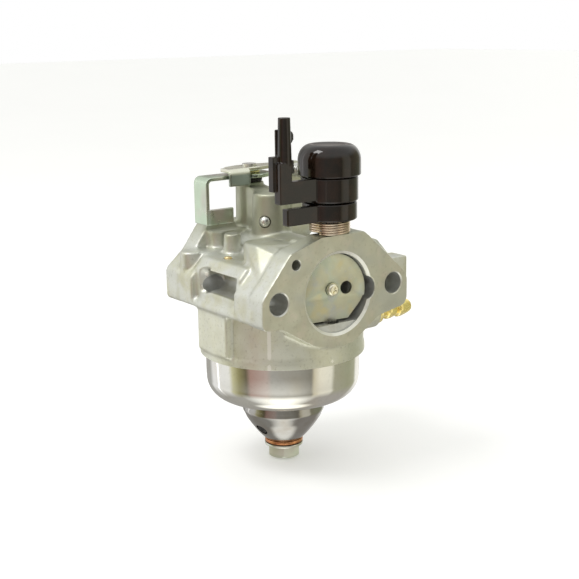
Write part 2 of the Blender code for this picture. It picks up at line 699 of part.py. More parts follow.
def throttle_lever():
    """Seal, lever and spacer on the throttle shaft; the lever is bent down and back under itself."""
    profile = [(2.75, 30.3), (4.2, 30.3), (4.2, 31.3), (2.75, 31.3)]
    seal = turned("throttle_seal", profile, THROTTLE_AXIS, segments=24)
    finish(seal, "throttle_seal", RUBBER)
    low = LEVER_Z - LEVER_T
    hub = rod("throttle_lever", (0, THROTTLE_Y, low), (0, THROTTLE_Y, LEVER_Z), 7.0, segments=32)
    arm = box("arm", (STRAP_X, THROTTLE_Y - STRAP_HALF, low), (-2.0, THROTTLE_Y + STRAP_HALF, LEVER_Z))
    near, far = THROTTLE_Y - STRAP_HALF, THROTTLE_Y + STRAP_HALF
    strap = box("strap", (STRAP_X, near, STRAP_LOW), (STRAP_X + LEVER_T, far, LEVER_Z))
    foot = box("foot", (STRAP_X, near - 0.6, STRAP_LOW), (-9.5, near + 0.6, 22.6))
    fuse(hub, [arm, strap, foot])
    cut(hub, [
        rod("hole", (0, THROTTLE_Y, low - 1), (0, THROTTLE_Y, LEVER_Z + 1), SHAFT_R + 0.25),
        box("notch", (-12.0, THROTTLE_Y - 8.0, low - 1), (-3.2, THROTTLE_Y - STRAP_HALF - 0.65, LEVER_Z + 1)),
    ])
    finish(hub, "throttle_lever", PLATED, THROTTLE_AXIS)
    low, high = LEVER_Z + 0.15, TOP_PLATE_LOW - 0.15
    profile = [(2.65, low), (3.5, low), (3.5, high), (2.65, high)]
    spacer = turned("throttle_spacer", profile, THROTTLE_AXIS, segments=20)
    finish(spacer, "throttle_spacer", BRASS, THROTTLE_AXIS)


def throttle_top_plate():
    """Upper plate whose left end bends down in front of the lever's arm."""
    corners = [(-9.6, THROTTLE_Y - 4.6, 0.6), (-9.6, THROTTLE_Y + 1.8, 2.5), (-3.0, THROTTLE_Y + 3.8, 3.0),
               (5.0, THROTTLE_Y + 3.4, 3.0), (10.4, THROTTLE_Y + 2.0, 1.5), (10.4, THROTTLE_Y - 1.0, 1.0),
               (5.5, THROTTLE_Y - 3.4, 3.0), (1.0, THROTTLE_Y - 4.6, 3.0)]
    plate = prism("throttle_top_plate", rounded(corners), TOP_PLATE_LOW, TOP_PLATE_TOP)
    web_back = THROTTLE_Y - STRAP_HALF - 0.95
    shelf = box("shelf", (-11.5, web_back - LEVER_T, TOP_PLATE_LOW), (-3.6, THROTTLE_Y, TOP_PLATE_TOP))
    web = box("web", (-11.5, web_back - LEVER_T, 29.6), (-3.6, web_back, TOP_PLATE_TOP))
    fuse(plate, [shelf, web])
    low, high = (0, THROTTLE_Y, TOP_PLATE_LOW - 1), (0, THROTTLE_Y, TOP_PLATE_TOP + 1)
    cut(plate, [rod("hole", low, high, SHAFT_R + 0.25)])
    finish(plate, "throttle_top_plate", PLATED, THROTTLE_AXIS)


def adjusting_screws():
    """Stop screw along Y against the top plate, pilot screw along X into the throat wall."""
    stop = rod("throttle_stop_screw", (STOP_X, -29.6, STOP_Z), (STOP_X, -27.4, STOP_Z), 2.6, segments=20)
    fuse(stop, [rod("thread", (STOP_X, -28.0, STOP_Z), (STOP_X, -15.5, STOP_Z), 1.35, segments=16)])
    cut(stop, [box("slot", (4.0, -30.5, 34.1), (11.5, -28.8, 34.9))])
    finish(stop, "throttle_stop_screw", STEEL, (STOP_X, -27.4, STOP_Z))
    coil = tube("throttle_stop_spring", helix((STOP_X, -26.9, STOP_Z), (0, 1, 0), 2.05, 0.95, 3.6), 0.27)
    finish(coil, "throttle_stop_spring", SPRING)
    pilot = rod("pilot_screw", (25.6, PILOT_Y, PILOT_Z), (27.9, PILOT_Y, PILOT_Z), 2.5, segments=20)
    fuse(pilot, [rod("thread", (26.0, PILOT_Y, PILOT_Z), (12.2, PILOT_Y, PILOT_Z), 1.15, 0.9, 16)])
    cut(pilot, [box("slot", (27.0, -16.0, 13.0), (29.0, -9.0, 13.8))])
    finish(pilot, "pilot_screw", BRASS, (25.6, PILOT_Y, PILOT_Z))
    coil = tube("pilot_spring", helix((21.7, PILOT_Y, PILOT_Z), (1, 0, 0), 1.95, 0.95, 3.6), 0.27)
    finish(coil, "pilot_spring", SPRING)


# ---------------------------------------------------------------- choke group

CHOKE_AXIS = (0, CHOKE_Y, 0)


def choke_shaft():
    shaft = rod("choke_shaft", (0, CHOKE_Y, SHAFT_BOTTOM), (0, CHOKE_Y, UPPER_BARREL_Z[1]), SHAFT_R)
    flat = box("flat", (-4, CHOKE_Y - 4, -12.6), (4, CHOKE_Y + 0.15, 12.6))
    cut(shaft, [turn(flat, CHOKE_REST_DEG * -1, CHOKE_AXIS)])
    hole = rod("hole", (0, CHOKE_Y - 4, CHOKE_SCREW_Z), (0, CHOKE_Y + 4, CHOKE_SCREW_Z), 1.3, segments=12)
    cut(shaft, [turn(hole, -CHOKE_REST_DEG, CHOKE_AXIS)])
    finish(shaft, "choke_shaft", STEEL, CHOKE_AXIS)


def choke_valve():
    plate = butterfly("choke_plate", CHOKE_PLATE_R, 0.9, CHOKE_Y, CHOKE_FLAT_Z, 0, CHOKE_SCREW_Z)
    near, far = CHOKE_Y - 4, CHOKE_Y + 2
    clipped_corner = [
        (5.5, CHOKE_FLAT_Z), (10.4, -4.2), (11.4, -2.5), (14.0, -2.5), (14.0, -11.0), (5.5, -11.0),
    ]
    start, end = (AIR_HOLE_X, near, AIR_HOLE_Z), (AIR_HOLE_X, far, AIR_HOLE_Z)
    cut(plate, [
        rod("air_hole", start, end, AIR_HOLE_R, segments=20),
        prism("corner", clipped_corner, near, far, "Y"),
    ])
    turn(plate, -CHOKE_REST_DEG, CHOKE_AXIS)
    finish(plate, "choke_plate", PLATED, CHOKE_AXIS)
    screw = plate_screw("choke_plate_screw", CHOKE_Y, 0.9, -CHOKE_REST_DEG, CHOKE_SCREW_Z)
    finish(screw, "choke_plate_screw", STEEL, CHOKE_AXIS)


def choke_levers():
    low, high = LOWER_BARREL_Z
    lower = rod("choke_lower_lever", (0, CHOKE_Y, low), (0, CHOKE_Y, high), LOWER_BARREL_R, segments=40)
    fuse(lower, [box("arm", (-18.7, ARM_NEAR_Y, low), (-5.0, ARM_FAR_Y, 27.9))])
    cut(lower, [rod("hole", (0, CHOKE_Y, low - 1), (0, CHOKE_Y, high + 1), SHAFT_R + 0.25)])
    finish(lower, "choke_lower_lever", BLACK, CHOKE_AXIS)

    low, high = UPPER_BARREL_Z
    upper = rod("choke_upper_lever", (0, CHOKE_Y, low), (0, CHOKE_Y, high), UPPER_BARREL_R, segments=40)
    fuse(upper, [
        box("arm", (-18.6, ARM_NEAR_Y, 29.4), (-5.0, ARM_FAR_Y, 35.9)),
        box("block", (-21.1, ARM_NEAR_Y, 29.4), (-16.9, -50.9, 41.4)),
        box("rear_block", (-22.0, -51.8, 33.0), (-18.0, -49.4, 43.2)),
        rod("post", (POST_X, POST_Y, 40.8), (POST_X, POST_Y, POST_TOP), POST_R, POST_R - 0.3, 20),
        box("fin", (FIN_LEFT, FIN_NEAR_Y, 40.6), (FIN_LEFT + 4.2, FIN_FAR_Y, FIN_TOP)),
        box("fin_hook", (FIN_LEFT + 3.0, FIN_NEAR_Y, FIN_TOP - 4.6),
            (FIN_LEFT + 6.4, FIN_FAR_Y, FIN_TOP - 0.5)),
        box("fin_foot", (FIN_LEFT - 0.5, POST_Y - 0.3, 38.0), (FIN_LEFT + 4.2, FIN_FAR_Y, 42.0)),
    ])
    cut(upper, [rod("hole", (0, CHOKE_Y, low - 1), (0, CHOKE_Y, high + 1), SHAFT_R + 0.3)])
    finish(upper, "choke_upper_lever", BLACK, CHOKE_AXIS)

    low, high = CAP_Z
    dome = [(CAP_R - CAP_ROUND_R * (1 - math.cos(math.radians(a))),
             high - CAP_ROUND_Z * (1 - math.sin(math.radians(a))))
            for a in (8, 22, 36, 50, 64, 80)]
    profile = [(0, low), (CAP_R, low), (CAP_R, high - CAP_ROUND_Z - 0.4)] + dome
    profile += [(5.0, high), (4.4, high - 0.25), (0, high - 0.25)]
    cap = turned("choke_cap", profile, CHOKE_AXIS, segments=36)
    finish(cap, "choke_cap", BLACK, CHOKE_AXIS)


def choke_spring():
    """Torsion spring round the choke boss, with one leg up to the lower lever."""
    coil = helix((0, CHOKE_Y, 18.85), (0, 0, 1), 5.95, 0.74, 4.4, start_deg=20)
    leg_start = coil[-1]
    coil.append(leg_start + Vector((-1.2, -0.8, 0.1)))
    coil.append(leg_start + Vector((-2.4, -1.5, 0.15)))
    spring = tube("choke_spring", coil, 0.36)
    finish(spring, "choke_spring", SPRING)


def build():
    clear_scene()
    carburetor_body()
    passage_plugs()
    float_bowl()
    sediment_cup()
    bowl_fastener()
    bowl_gasket()
    jets()
    float_group()
    fuel_inlet_pipe()
    throttle_shaft()
    throttle_valve()
    throttle_lever()
    throttle_top_plate()
    adjusting_screws()
    choke_shaft()
    choke_valve()
    choke_levers()
    choke_spring()


build()
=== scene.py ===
"""Looks of the float-bowl carburetor: die-cast body, plated bowl, black choke levers.

Shapes are modelled in millimetres in the part's own frame: origin at the centre of the throat on
the engine flange face, +Y out of that face, +X towards the fuel inlet, +Z up.
"""

import math

import bmesh
import bpy
from mathutils import Matrix, Vector


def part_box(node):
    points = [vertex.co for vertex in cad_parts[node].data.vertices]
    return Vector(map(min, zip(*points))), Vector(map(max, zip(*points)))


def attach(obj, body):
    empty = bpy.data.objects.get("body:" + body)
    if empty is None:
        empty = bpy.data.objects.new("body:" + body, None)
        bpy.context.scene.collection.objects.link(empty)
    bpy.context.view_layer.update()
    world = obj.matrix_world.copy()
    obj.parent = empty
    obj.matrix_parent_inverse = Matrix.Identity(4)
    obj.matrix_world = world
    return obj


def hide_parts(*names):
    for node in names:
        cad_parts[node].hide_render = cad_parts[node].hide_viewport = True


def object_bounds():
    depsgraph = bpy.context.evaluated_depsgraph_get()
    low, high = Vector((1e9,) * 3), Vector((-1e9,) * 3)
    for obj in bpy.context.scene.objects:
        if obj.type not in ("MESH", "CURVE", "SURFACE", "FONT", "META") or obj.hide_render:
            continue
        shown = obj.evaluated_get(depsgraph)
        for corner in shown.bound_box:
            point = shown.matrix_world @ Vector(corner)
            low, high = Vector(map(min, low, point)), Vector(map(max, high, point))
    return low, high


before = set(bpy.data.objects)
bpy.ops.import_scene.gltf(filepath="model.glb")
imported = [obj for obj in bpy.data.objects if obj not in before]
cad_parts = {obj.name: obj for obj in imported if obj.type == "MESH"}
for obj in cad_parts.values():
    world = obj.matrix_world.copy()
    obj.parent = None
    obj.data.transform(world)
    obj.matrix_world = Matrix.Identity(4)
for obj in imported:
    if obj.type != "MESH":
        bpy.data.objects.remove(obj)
cad_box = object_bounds()

MM = 0.001


def frame_box(node):
    """Lowest and highest corner of a CAD node, in millimetres."""
    low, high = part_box(node)
    return low / MM, high / MM


def turned_centre(node):
    """Centre of a CAD node's box, in millimetres."""
    low, high = frame_box(node)
    return (low + high) / 2


# Places that the frame gives.
FRONT_Y = frame_box("carburetor_body")[0].y
CHOKE_Y = turned_centre("choke_shaft").y
THROTTLE_Y = turned_centre("throttle_shaft").y
BOWL_Y = turned_centre("float_bowl").y
BOWL_LOW, BOWL_HIGH = frame_box("float_bowl")
BOWL_R = BOWL_HIGH.x
CUP_LOW, CUP_HIGH = frame_box("sediment_cup")
CAP_LOW, CAP_HIGH = frame_box("choke_cap")
CAP_R = CAP_HIGH.x
UPPER_LOW, UPPER_HIGH = frame_box("choke_upper_lever")
LOWER_LOW, LOWER_HIGH = frame_box("choke_lower_lever")
LEVER_LOW, LEVER_HIGH = frame_box("throttle_lever")
TOP_LOW, TOP_HIGH = frame_box("throttle_top_plate")
PIPE_LOW, PIPE_HIGH = frame_box("fuel_inlet_pipe")
FUEL_Y = (PIPE_LOW.y + PIPE_HIGH.y) / 2
FUEL_Z = (PIPE_LOW.z + PIPE_HIGH.z) / 2

# Driving sizes of the casting.
BARREL_R = 15.0
CHOKE_BORE_R = 12.4
CHOKE_PLATE_R = 12.1
CHOKE_FLAT_Z = -9.4
LEDGE_Y = -53.4
LEDGE_END = -33.5
GAP = 0.3
VENTURI_R = 7.5
THROTTLE_BORE_R = 9.5
FLANGE_T = 7.0
STUD_X = 22.45
STUD_Z = 0.1
STUD_HOLE_R = 3.4
EAR_X = 28.5
EAR_BOTTOM = -6.9
FRONT_EAR_LENGTH = 15.5
REAR_EAR_LENGTH = 15.4
RAIL_X = 26.6
SHELF_Z = 8.8
WINDOW_LOW = -1.3
WINDOW_HIGH = 5.5
WINDOW_FRONT = -38.0
WINDOW_REAR = -18.0
FLARE_REAR = -15.0
SHAFT_R = 2.4
SHAFT_HOLE_R = 2.8
SHAFT_HOLE_BOTTOM = -13.9
TOWER_Y = -20.1
TOWER_R = 6.0
TOWER_TOP = 27.6
POCKET_X = 10.8
POCKET_R = 3.9
POCKET_DEPTH = 10.5
THROTTLE_BOSS_R = 4.7
THROTTLE_BOSS_TOP = 30.0
CHOKE_BOSS_TOP = 18.4
SKIRT_R = 27.1
SKIRT_WALL_R = SKIRT_R - 0.35
SKIRT_TOP = -6.6
SKIRT_ROOF = -15.6
SKIRT_BOTTOM = -23.4
PANEL_X = -27.6
PANEL_HALF = 8.3
PANEL_BOTTOM = -20.9
RELIEF_LOW = -14.6
STEM_R = 5.0
STEM_BOTTOM = -38.0
BOLT_HOLE_R = 3.4
HEX_R = 5.77
HEX_DEG = 233.3
THREAD_PITCH = 0.7

# The face that the machining leaves stands this far inside the rough casting.
SKIM = 0.25
CAST_VOXEL = 0.42
CHAMFER = 0.35

CHOKE_REST_DEG = -7.0
CHOKE_SCREW_Z = 0.8
AIR_HOLE = (5.2, 0.8, 2.05)
THROTTLE_REST_DEG = 46.0
ABOVE = Vector((0, 0, 1))


# ---------------------------------------------------------------- basic shapes

def solid(name, bm):
    """Turn a bmesh in millimetres into an object with its faces pointing out."""
    bmesh.ops.remove_doubles(bm, verts=bm.verts, dist=1e-5)
    bmesh.ops.recalc_face_normals(bm, faces=bm.faces)
    mesh = bpy.data.meshes.new(name)
    bm.to_mesh(mesh)
    bm.free()
    obj = bpy.data.objects.new(name, mesh)
    bpy.context.scene.collection.objects.link(obj)
    return obj


def axis_frame(point, direction):
    """A matrix that puts local +Z on the given direction, with its origin at the point."""
    turn = Vector(direction).normalized().to_track_quat("Z", "Y").to_matrix().to_4x4()
    return Matrix.Translation(point) @ turn


def arc(centre, radius, start_deg, end_deg, steps=6):
    """Points round an arc in the plane of a profile or an outline."""
    points = []
    for k in range(steps + 1):
        angle = math.radians(start_deg + (end_deg - start_deg) * k / steps)
        points.append((centre[0] + radius * math.cos(angle), centre[1] + radius * math.sin(angle)))
    return points


def rounded(corners, steps=5):
    """A closed outline from (u, v, radius) corners, each corner cut to an arc."""
    outline = []
    count = len(corners)
    for k, (u, v, radius) in enumerate(corners):
        here = Vector((u, v))
        before = (Vector(corners[k - 1][:2]) - here).normalized()
        after = (Vector(corners[(k + 1) % count][:2]) - here).normalized()
        half = before.angle(after) / 2
        if radius <= 0 or abs(half - math.pi / 2) < 0.02:
            outline.append((u, v))
            continue
        reach = radius / math.tan(half)
        centre = here + (before + after).normalized() * radius / math.sin(half)
        first = here + before * reach - centre
        last = here + after * reach - centre
        sweep = first.angle_signed(last)
        for s in range(steps + 1):
            spoke = first.copy()
            spoke.rotate(Matrix.Rotation(-sweep * s / steps, 2))
            outline.append(tuple(centre + spoke))
    return outline


def turned(name, profile, point=(0, 0, 0), direction=(0, 0, 1), segments=96):
    """A body of revolution from (radius, height) points; a loop clear of the axis is a ring."""
    bm = bmesh.new()
    ring = profile[0][0] > 0 and profile[-1][0] > 0
    rows = []
    for radius, height in profile:
        if radius <= 0:
            continue
        row = []
        for k in range(segments):
            angle = 2 * math.pi * (k + 0.5) / segments
            row.append(bm.verts.new((radius * math.cos(angle), radius * math.sin(angle), height)))
        rows.append(row)
    pairs = list(zip(rows, rows[1:]))
    if ring:
        pairs.append((rows[-1], rows[0]))
    else:
        bm.faces.new(rows[0])
        bm.faces.new(rows[-1])
    for low, high in pairs:
        for k in range(segments):
            j = (k + 1) % segments
            bm.faces.new((low[k], low[j], high[j], high[k]))
    bm.transform(axis_frame(point, direction))
    return solid(name, bm)


def rod(name, start, end, radius, end_radius=None, segments=64):
    """A round bar, or a cone where the end radius differs."""
    start, end = Vector(start), Vector(end)
    length = (end - start).length
    last = radius if end_radius is None else end_radius
    return turned(name, [(0, 0), (radius, 0), (last, length), (0, length)], start, end - start, segments)


def upright(name, y, low, high, radius, end_radius=None, x=0.0, segments=64):
    """A round bar that stands on end."""
    return rod(name, (x, y, low), (x, y, high), radius, end_radius, segments)


def drill(start, end, radius, rim=CHAMFER):
    """A cutter for a round hole that opens at its start with a small chamfer."""
    start, end = Vector(start), Vector(end)
    length = (end - start).length
    over = 1.0
    profile = [
        (0, -over), (radius + rim + over, -over), (radius + rim, 0), (radius, rim),
        (radius, length), (0, length),
    ]
    return turned("drill", profile, start, end - start, 64)


def box(name, low, high):
    bm = bmesh.new()
    bmesh.ops.create_cube(bm, size=1.0)
    bmesh.ops.scale(bm, vec=[b - a for a, b in zip(low, high)], verts=bm.verts)
    bmesh.ops.translate(bm, vec=[(a + b) / 2 for a, b in zip(low, high)], verts=bm.verts)
    return solid(name, bm)


def hull(name, points):
    """The convex solid round a cloud of points."""
    bm = bmesh.new()
    for point in points:
        bm.verts.new(point)
    bmesh.ops.convex_hull(bm, input=bm.verts)
    return solid(name, bm)


def prism(name, outline, start, end, along="Z"):
    """An outline swept straight: (x, y) along Z, (x, z) along Y, or (y, z) along X."""
    place = {
        "Z": lambda u, v, w: (u, v, w),
        "Y": lambda u, v, w: (u, w, v),
        "X": lambda u, v, w: (w, u, v),
    }[along]
    bm = bmesh.new()
    low = [bm.verts.new(place(u, v, start)) for u, v in outline]
    high = [bm.verts.new(place(u, v, end)) for u, v in outline]
    bm.faces.new(low)
    bm.faces.new(high[::-1])
    for k in range(len(outline)):
        j = (k + 1) % len(outline)
        bm.faces.new((low[k], high[k], high[j], low[j]))
    return solid(name, bm)


def tube(name, path, radius, sides=12):
    """A round wire along a list of points, with domed ends."""
    bm = bmesh.new()
    points = [Vector(p) for p in path]
    rows = []
    last = len(points) - 1
    for k, point in enumerate(points):
        ahead = (points[min(k + 1, last)] - points[max(k - 1, 0)]).normalized()
        side = ahead.cross(ABOVE)
        if side.length < 0.2:
            side = ahead.cross(Vector((1, 0, 0)))
        side.normalize()
        other = side.cross(ahead)
        thick = radius * (0.6 if k in (0, last) else 1.0)
        row = []
        for s in range(sides):
            angle = 2 * math.pi * s / sides
            row.append(bm.verts.new(point + (side * math.cos(angle) + other * math.sin(angle)) * thick))
        rows.append(row)
    for low, high in zip(rows, rows[1:]):
        for s in range(sides):
            t = (s + 1) % sides
            bm.faces.new((low[s], low[t], high[t], high[s]))
    bm.faces.new(rows[0][::-1])
    bm.faces.new(rows[-1])
    return solid(name, bm)


def helix(centre, direction, radius, pitch, turns, start_deg=0.0, per_turn=36):
    """Points of a coil that starts at the centre point and climbs along the direction."""
    place = axis_frame(centre, direction)
    points = []
    for k in range(int(turns * per_turn) + 1):
        angle = math.radians(start_deg) + 2 * math.pi * k / per_turn
        local = Vector((radius * math.cos(angle), radius * math.sin(angle), pitch * k / per_turn))
        points.append(place @ local)
    return points


# ---------------------------------------------------------------- mesh work

def applied(obj):
    """Bake an object's modifiers into its mesh."""
    graph = bpy.context.evaluated_depsgraph_get()
    mesh = bpy.data.meshes.new_from_object(obj.evaluated_get(graph))
    obj.modifiers.clear()
    old = obj.data
    obj.data = mesh
    bpy.data.meshes.remove(old)
    return obj


def drop(objects):
    for obj in objects:
        bpy.data.objects.remove(obj, do_unlink=True)


def combine(target, others, operation, solver="EXACT"):
    """Join shapes to the target or cut them from it, then drop them."""
    for other in others:
        step = target.modifiers.new(other.name, "BOOLEAN")
        step.operation = operation
        step.solver = solver
        step.object = other
    applied(target)
    drop(others)
    return target


def fuse(target, others, solver="EXACT"):
    return combine(target, others, "UNION", solver)


def cut(target, others, solver="EXACT"):
    return combine(target, others, "DIFFERENCE", solver)


def joined(name, shapes):
    """One object that holds the faces of all the shapes, overlaps and all."""
    bm = bmesh.new()
    for shape in shapes:
        bm.from_mesh(shape.data)
    mesh = bpy.data.meshes.new(name)
    bm.to_mesh(mesh)
    bm.free()
    drop(shapes)
    obj = bpy.data.objects.new(name, mesh)
    bpy.context.scene.collection.objects.link(obj)
    return obj


def skinned(obj, voxel, softness):
    """One skin over a shape, with every edge and inside corner softened."""
    skin = obj.modifiers.new("skin", "REMESH")
    skin.mode = "VOXEL"
    skin.voxel_size = voxel
    skin.use_smooth_shade = True
    soften = obj.modifiers.new("soften", "SMOOTH")
    soften.factor = 0.5
    soften.iterations = softness
    return applied(obj)


def moulded(name, shapes, voxel, softness):
    """One soft skin over all the shapes."""
    return skinned(joined(name, shapes), voxel, softness)


def bevelled(obj, width, segments=3, angle=28):
    """Round an object's hard edges."""
    step = obj.modifiers.new("edges", "BEVEL")
    step.width = width
    step.segments = segments
    step.limit_method = "ANGLE"
    step.angle_limit = math.radians(angle)
    step.use_clamp_overlap = True
    return applied(obj)


def turn(obj, degrees, pivot, axis="Z"):
    """Turn a shape about an axis through the pivot."""
    spot = Matrix.Translation(pivot)
    spin = Matrix.Rotation(math.radians(degrees), 4, axis)
    obj.data.transform(spot @ spin @ spot.inverted())
    return obj


def piece(obj, node, look, body, sharp=32, name=None):
    """Scale a shape to metres, give it its finish and set it on its body in place of a CAD node."""
    name = name or node + "_detail"
    obj.name = name
    obj.data.name = name
    obj.data.transform(Matrix.Scale(MM, 4))
    material, slot = look
    obj.data.materials.clear()
    obj.data.materials.append(material)
    obj.data.polygons.foreach_set("use_smooth", [True] * len(obj.data.polygons))
    obj.data.set_sharp_from_angle(angle=math.radians(sharp))
    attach(obj, body)
    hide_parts(node)
    return obj


# ---------------------------------------------------------------- finishes

class Surface:
    """Builds one procedural material step by step on a Principled shader."""

    def __init__(self, name, colour, metallic, roughness):
        self.material = bpy.data.materials.new(name)
        self.material.use_nodes = True
        self.tree = self.material.node_tree
        self.shader = self.tree.nodes["Principled BSDF"]
        self.shader.inputs["Base Color"].default_value = (*colour, 1.0)
        self.shader.inputs["Metallic"].default_value = metallic
        self.shader.inputs["Roughness"].default_value = roughness
        self.place = self.node("ShaderNodeTexCoord").outputs["Object"]
        self.colour = None
        self.bump = None
        self.base = colour
        self.roughness = roughness

    def node(self, kind, **values):
        made = self.tree.nodes.new(kind)
        for key, value in values.items():
            setattr(made, key, value)
        return made

    def link(self, source, target):
        self.tree.links.new(source, target)

    def noise(self, size_mm, detail=3.0, stretch=(1, 1, 1), rough=0.55, seed=0.0):
        """A noise value whose features are about size_mm across."""
        mapping = self.node("ShaderNodeMapping")
        mapping.inputs["Scale"].default_value = stretch
        mapping.inputs["Location"].default_value = (seed, seed * 0.7, seed * 1.3)
        self.link(self.place, mapping.inputs["Vector"])
        noise = self.node("ShaderNodeTexNoise")
        noise.inputs["Scale"].default_value = 1.0 / (size_mm * MM)
        noise.inputs["Detail"].default_value = detail
        noise.inputs["Roughness"].default_value = rough
        self.link(mapping.outputs["Vector"], noise.inputs["Vector"])
        return noise.outputs["Fac"]

    def height(self, low_mm, high_mm):
        """0 below the lower height, 1 above the upper one, in the part's frame."""
        split = self.node("ShaderNodeSeparateXYZ")
        self.link(self.place, split.inputs["Vector"])
        return self.spread(split.outputs["Z"], low_mm * MM, high_mm * MM)

    def spread(self, value, low, high, out_low=0.0, out_high=1.0):
        """Stretch a value's range low..high onto out_low..out_high, clamped."""
        step = self.node("ShaderNodeMapRange", clamp=True)
        self.link(value, step.inputs["Value"])
        ends = (("From Min", low), ("From Max", high), ("To Min", out_low), ("To Max", out_high))
        for key, number in ends:
            step.inputs[key].default_value = number
        return step.outputs["Result"]

    def tint(self, value, colour, low=0.4, high=0.6, strength=1.0):
        """Mix a colour in where the value is high."""
        mix = self.node("ShaderNodeMix", data_type="RGBA")
        self.link(self.spread(value, low, high, 0.0, strength), mix.inputs["Factor"])
        if self.colour is None:
            mix.inputs["A"].default_value = (*self.base, 1.0)
        else:
            self.link(self.colour, mix.inputs["A"])
        mix.inputs["B"].default_value = (*colour, 1.0)
        self.colour = mix.outputs["Result"]
        self.link(self.colour, self.shader.inputs["Base Color"])
        return self

    def worn_and_highlighted_edges(self, colour, low=0.52, high=0.58, strength=0.6):
        """Brighter where an edge stands out: partly worn metal, partly a painted edge highlight."""
        point = self.node("ShaderNodeNewGeometry").outputs["Pointiness"]
        return self.tint(point, colour, low, high, strength)

    def shade_hollows(self, colour, low=0.49, high=0.44, strength=0.6):
        """Painted shade: darker where the surface is hollow."""
        point = self.node("ShaderNodeNewGeometry").outputs["Pointiness"]
        return self.tint(point, colour, low, high, strength)

    def gloss(self, value, low, high, in_low=0.35, in_high=0.65):
        """Roughness that varies between two values."""
        self.link(self.spread(value, in_low, in_high, low, high), self.shader.inputs["Roughness"])
        return self

    def relief(self, value, depth_mm, strength=1.0):
        """Bump from a value, added to what is there already."""
        step = self.node("ShaderNodeBump")
        step.inputs["Strength"].default_value = strength
        step.inputs["Distance"].default_value = depth_mm * MM
        self.link(value, step.inputs["Height"])
        if self.bump is not None:
            self.link(self.bump, step.inputs["Normal"])
        self.bump = step.outputs["Normal"]
        self.link(self.bump, self.shader.inputs["Normal"])
        return self


def cast_aluminium():
    """Satin die-cast skin: cool grey with warm stains, fine grain and small pits; painted light makes the
    skirt lighter, the upper bosses and the hollows darker, and the edges brighter along with their wear.
    """
    s = Surface("cast_aluminium", (0.68, 0.69, 0.63), 0.80, 0.46)
    s.tint(s.noise(9, 3, seed=3), (0.62, 0.61, 0.46), 0.42, 0.64, 0.85)
    s.tint(s.noise(2.2, 4, seed=8), (0.70, 0.70, 0.67), 0.50, 0.70, 0.6)
    s.tint(s.noise(14, 2, seed=21), (0.56, 0.57, 0.49), 0.55, 0.75, 0.5)
    # Painted light: the skirt below the flanges is drawn lighter and warmer, as though lit from the front.
    s.tint(s.height(-6.5, -9.0), (0.78, 0.78, 0.64), 0.0, 1.0, 0.55)
    # Painted shade: the tower and bosses high on the throat are drawn darker olive.
    s.tint(s.height(11.0, 17.0), (0.42, 0.43, 0.32), 0.0, 1.0, 0.75)
    s.tint(s.noise(0.9, 3, seed=41), (0.44, 0.43, 0.34), 0.56, 0.72, 0.45)
    # Painted shade: darker in the hollows of the casting.
    s.shade_hollows((0.26, 0.25, 0.19), 0.485, 0.44, 0.65)
    # Brighter edges: worn metal, and a painted edge highlight.
    s.worn_and_highlighted_edges((0.95, 0.94, 0.86), 0.535, 0.58, 0.8)
    s.gloss(s.noise(4, 3, seed=5), 0.38, 0.52)
    s.relief(s.noise(5, 3, seed=13), 0.10, 0.5)
    s.relief(s.noise(0.35, 2), 0.02, 0.7)
    s.relief(s.spread(s.noise(1.3, 1, seed=31), 0.24, 0.30), 0.05, 0.4)
    return s.material, "cast_aluminium"


def top_plate_lit_shaded_steel():
    """Throttle top plate with painted light: drawn cream where the top is lit, deep teal where the
    bent-down web is in shade.
    """
    s = Surface("top_plate_lit_shaded_steel", (0.26, 0.31, 0.28), 1.0, 0.30)
    # Painted light: cream on the lit top; the dark teal base colour stands for shade on the bent-down web.
    s.tint(s.height(33.0, 34.2), (0.82, 0.82, 0.68), 0.0, 1.0, 1.0)
    s.tint(s.noise(6, 1, seed=7), (0.50, 0.46, 0.38), 0.52, 0.68, 0.4)
    s.worn_and_highlighted_edges((0.92, 0.93, 0.86), 0.52, 0.57, 0.8)
    s.gloss(s.noise(5, 2, seed=16), 0.24, 0.34)
    return s.material, "zinc_steel"


def black_plastic():
    """Glossy brown-black moulded nylon with a faint orange-peel skin."""
    s = Surface("black_plastic", (0.009, 0.006, 0.004), 0.0, 0.08)
    s.shader.inputs["IOR"].default_value = 1.52
    s.tint(s.noise(4, 2, seed=3), (0.020, 0.010, 0.006), 0.45, 0.65, 0.8)
    # Slightly lighter edges: wear, and a painted edge highlight.
    s.worn_and_highlighted_edges((0.035, 0.028, 0.024), 0.56, 0.64, 0.4)
    s.gloss(s.noise(2.5, 2, seed=6), 0.05, 0.11)
    s.relief(s.noise(1.8, 1, seed=9), 0.004, 0.3)
    return s.material, "black_plastic"


def finish(name, slot, colour, metallic, roughness, clouds, gloss, worn_and_lit_edge_tint=None, grain=()):
    """A finish made of soft colour clouds, brighter edges of wear and painted highlight, patchy gloss and
    fine relief.

    A cloud is size in mm, detail, seed, colour, where it starts, where it is full, and strength.
    Gloss is size, detail, seed and two roughnesses. The edge tint, for wear and a painted highlight, is a
    colour and a strength, and each grain is size, detail, seed, depth in mm, strength and the stretch along
    the three axes.
    """
    s = Surface(name, colour, metallic, roughness)
    for size, detail, seed, tone, start, full, strength in clouds:
        s.tint(s.noise(size, detail, seed=seed), tone, start, full, strength)
    if worn_and_lit_edge_tint:
        # Brighter edges: wear, and a painted edge highlight.
        s.worn_and_highlighted_edges(worn_and_lit_edge_tint[0], 0.52, 0.58, worn_and_lit_edge_tint[1])
    size, detail, seed, low, high = gloss
    s.gloss(s.noise(size, detail, seed=seed), low, high)
    for size, detail, seed, depth, strength, stretch in grain:
        s.relief(s.noise(size, detail, stretch, seed=seed), depth, strength)
    return s.material, slot


EVEN = (1, 1, 1)
CAST = cast_aluminium()
TOP_PLATE_LIT_SHADED = top_plate_lit_shaded_steel()
PLASTIC = black_plastic()
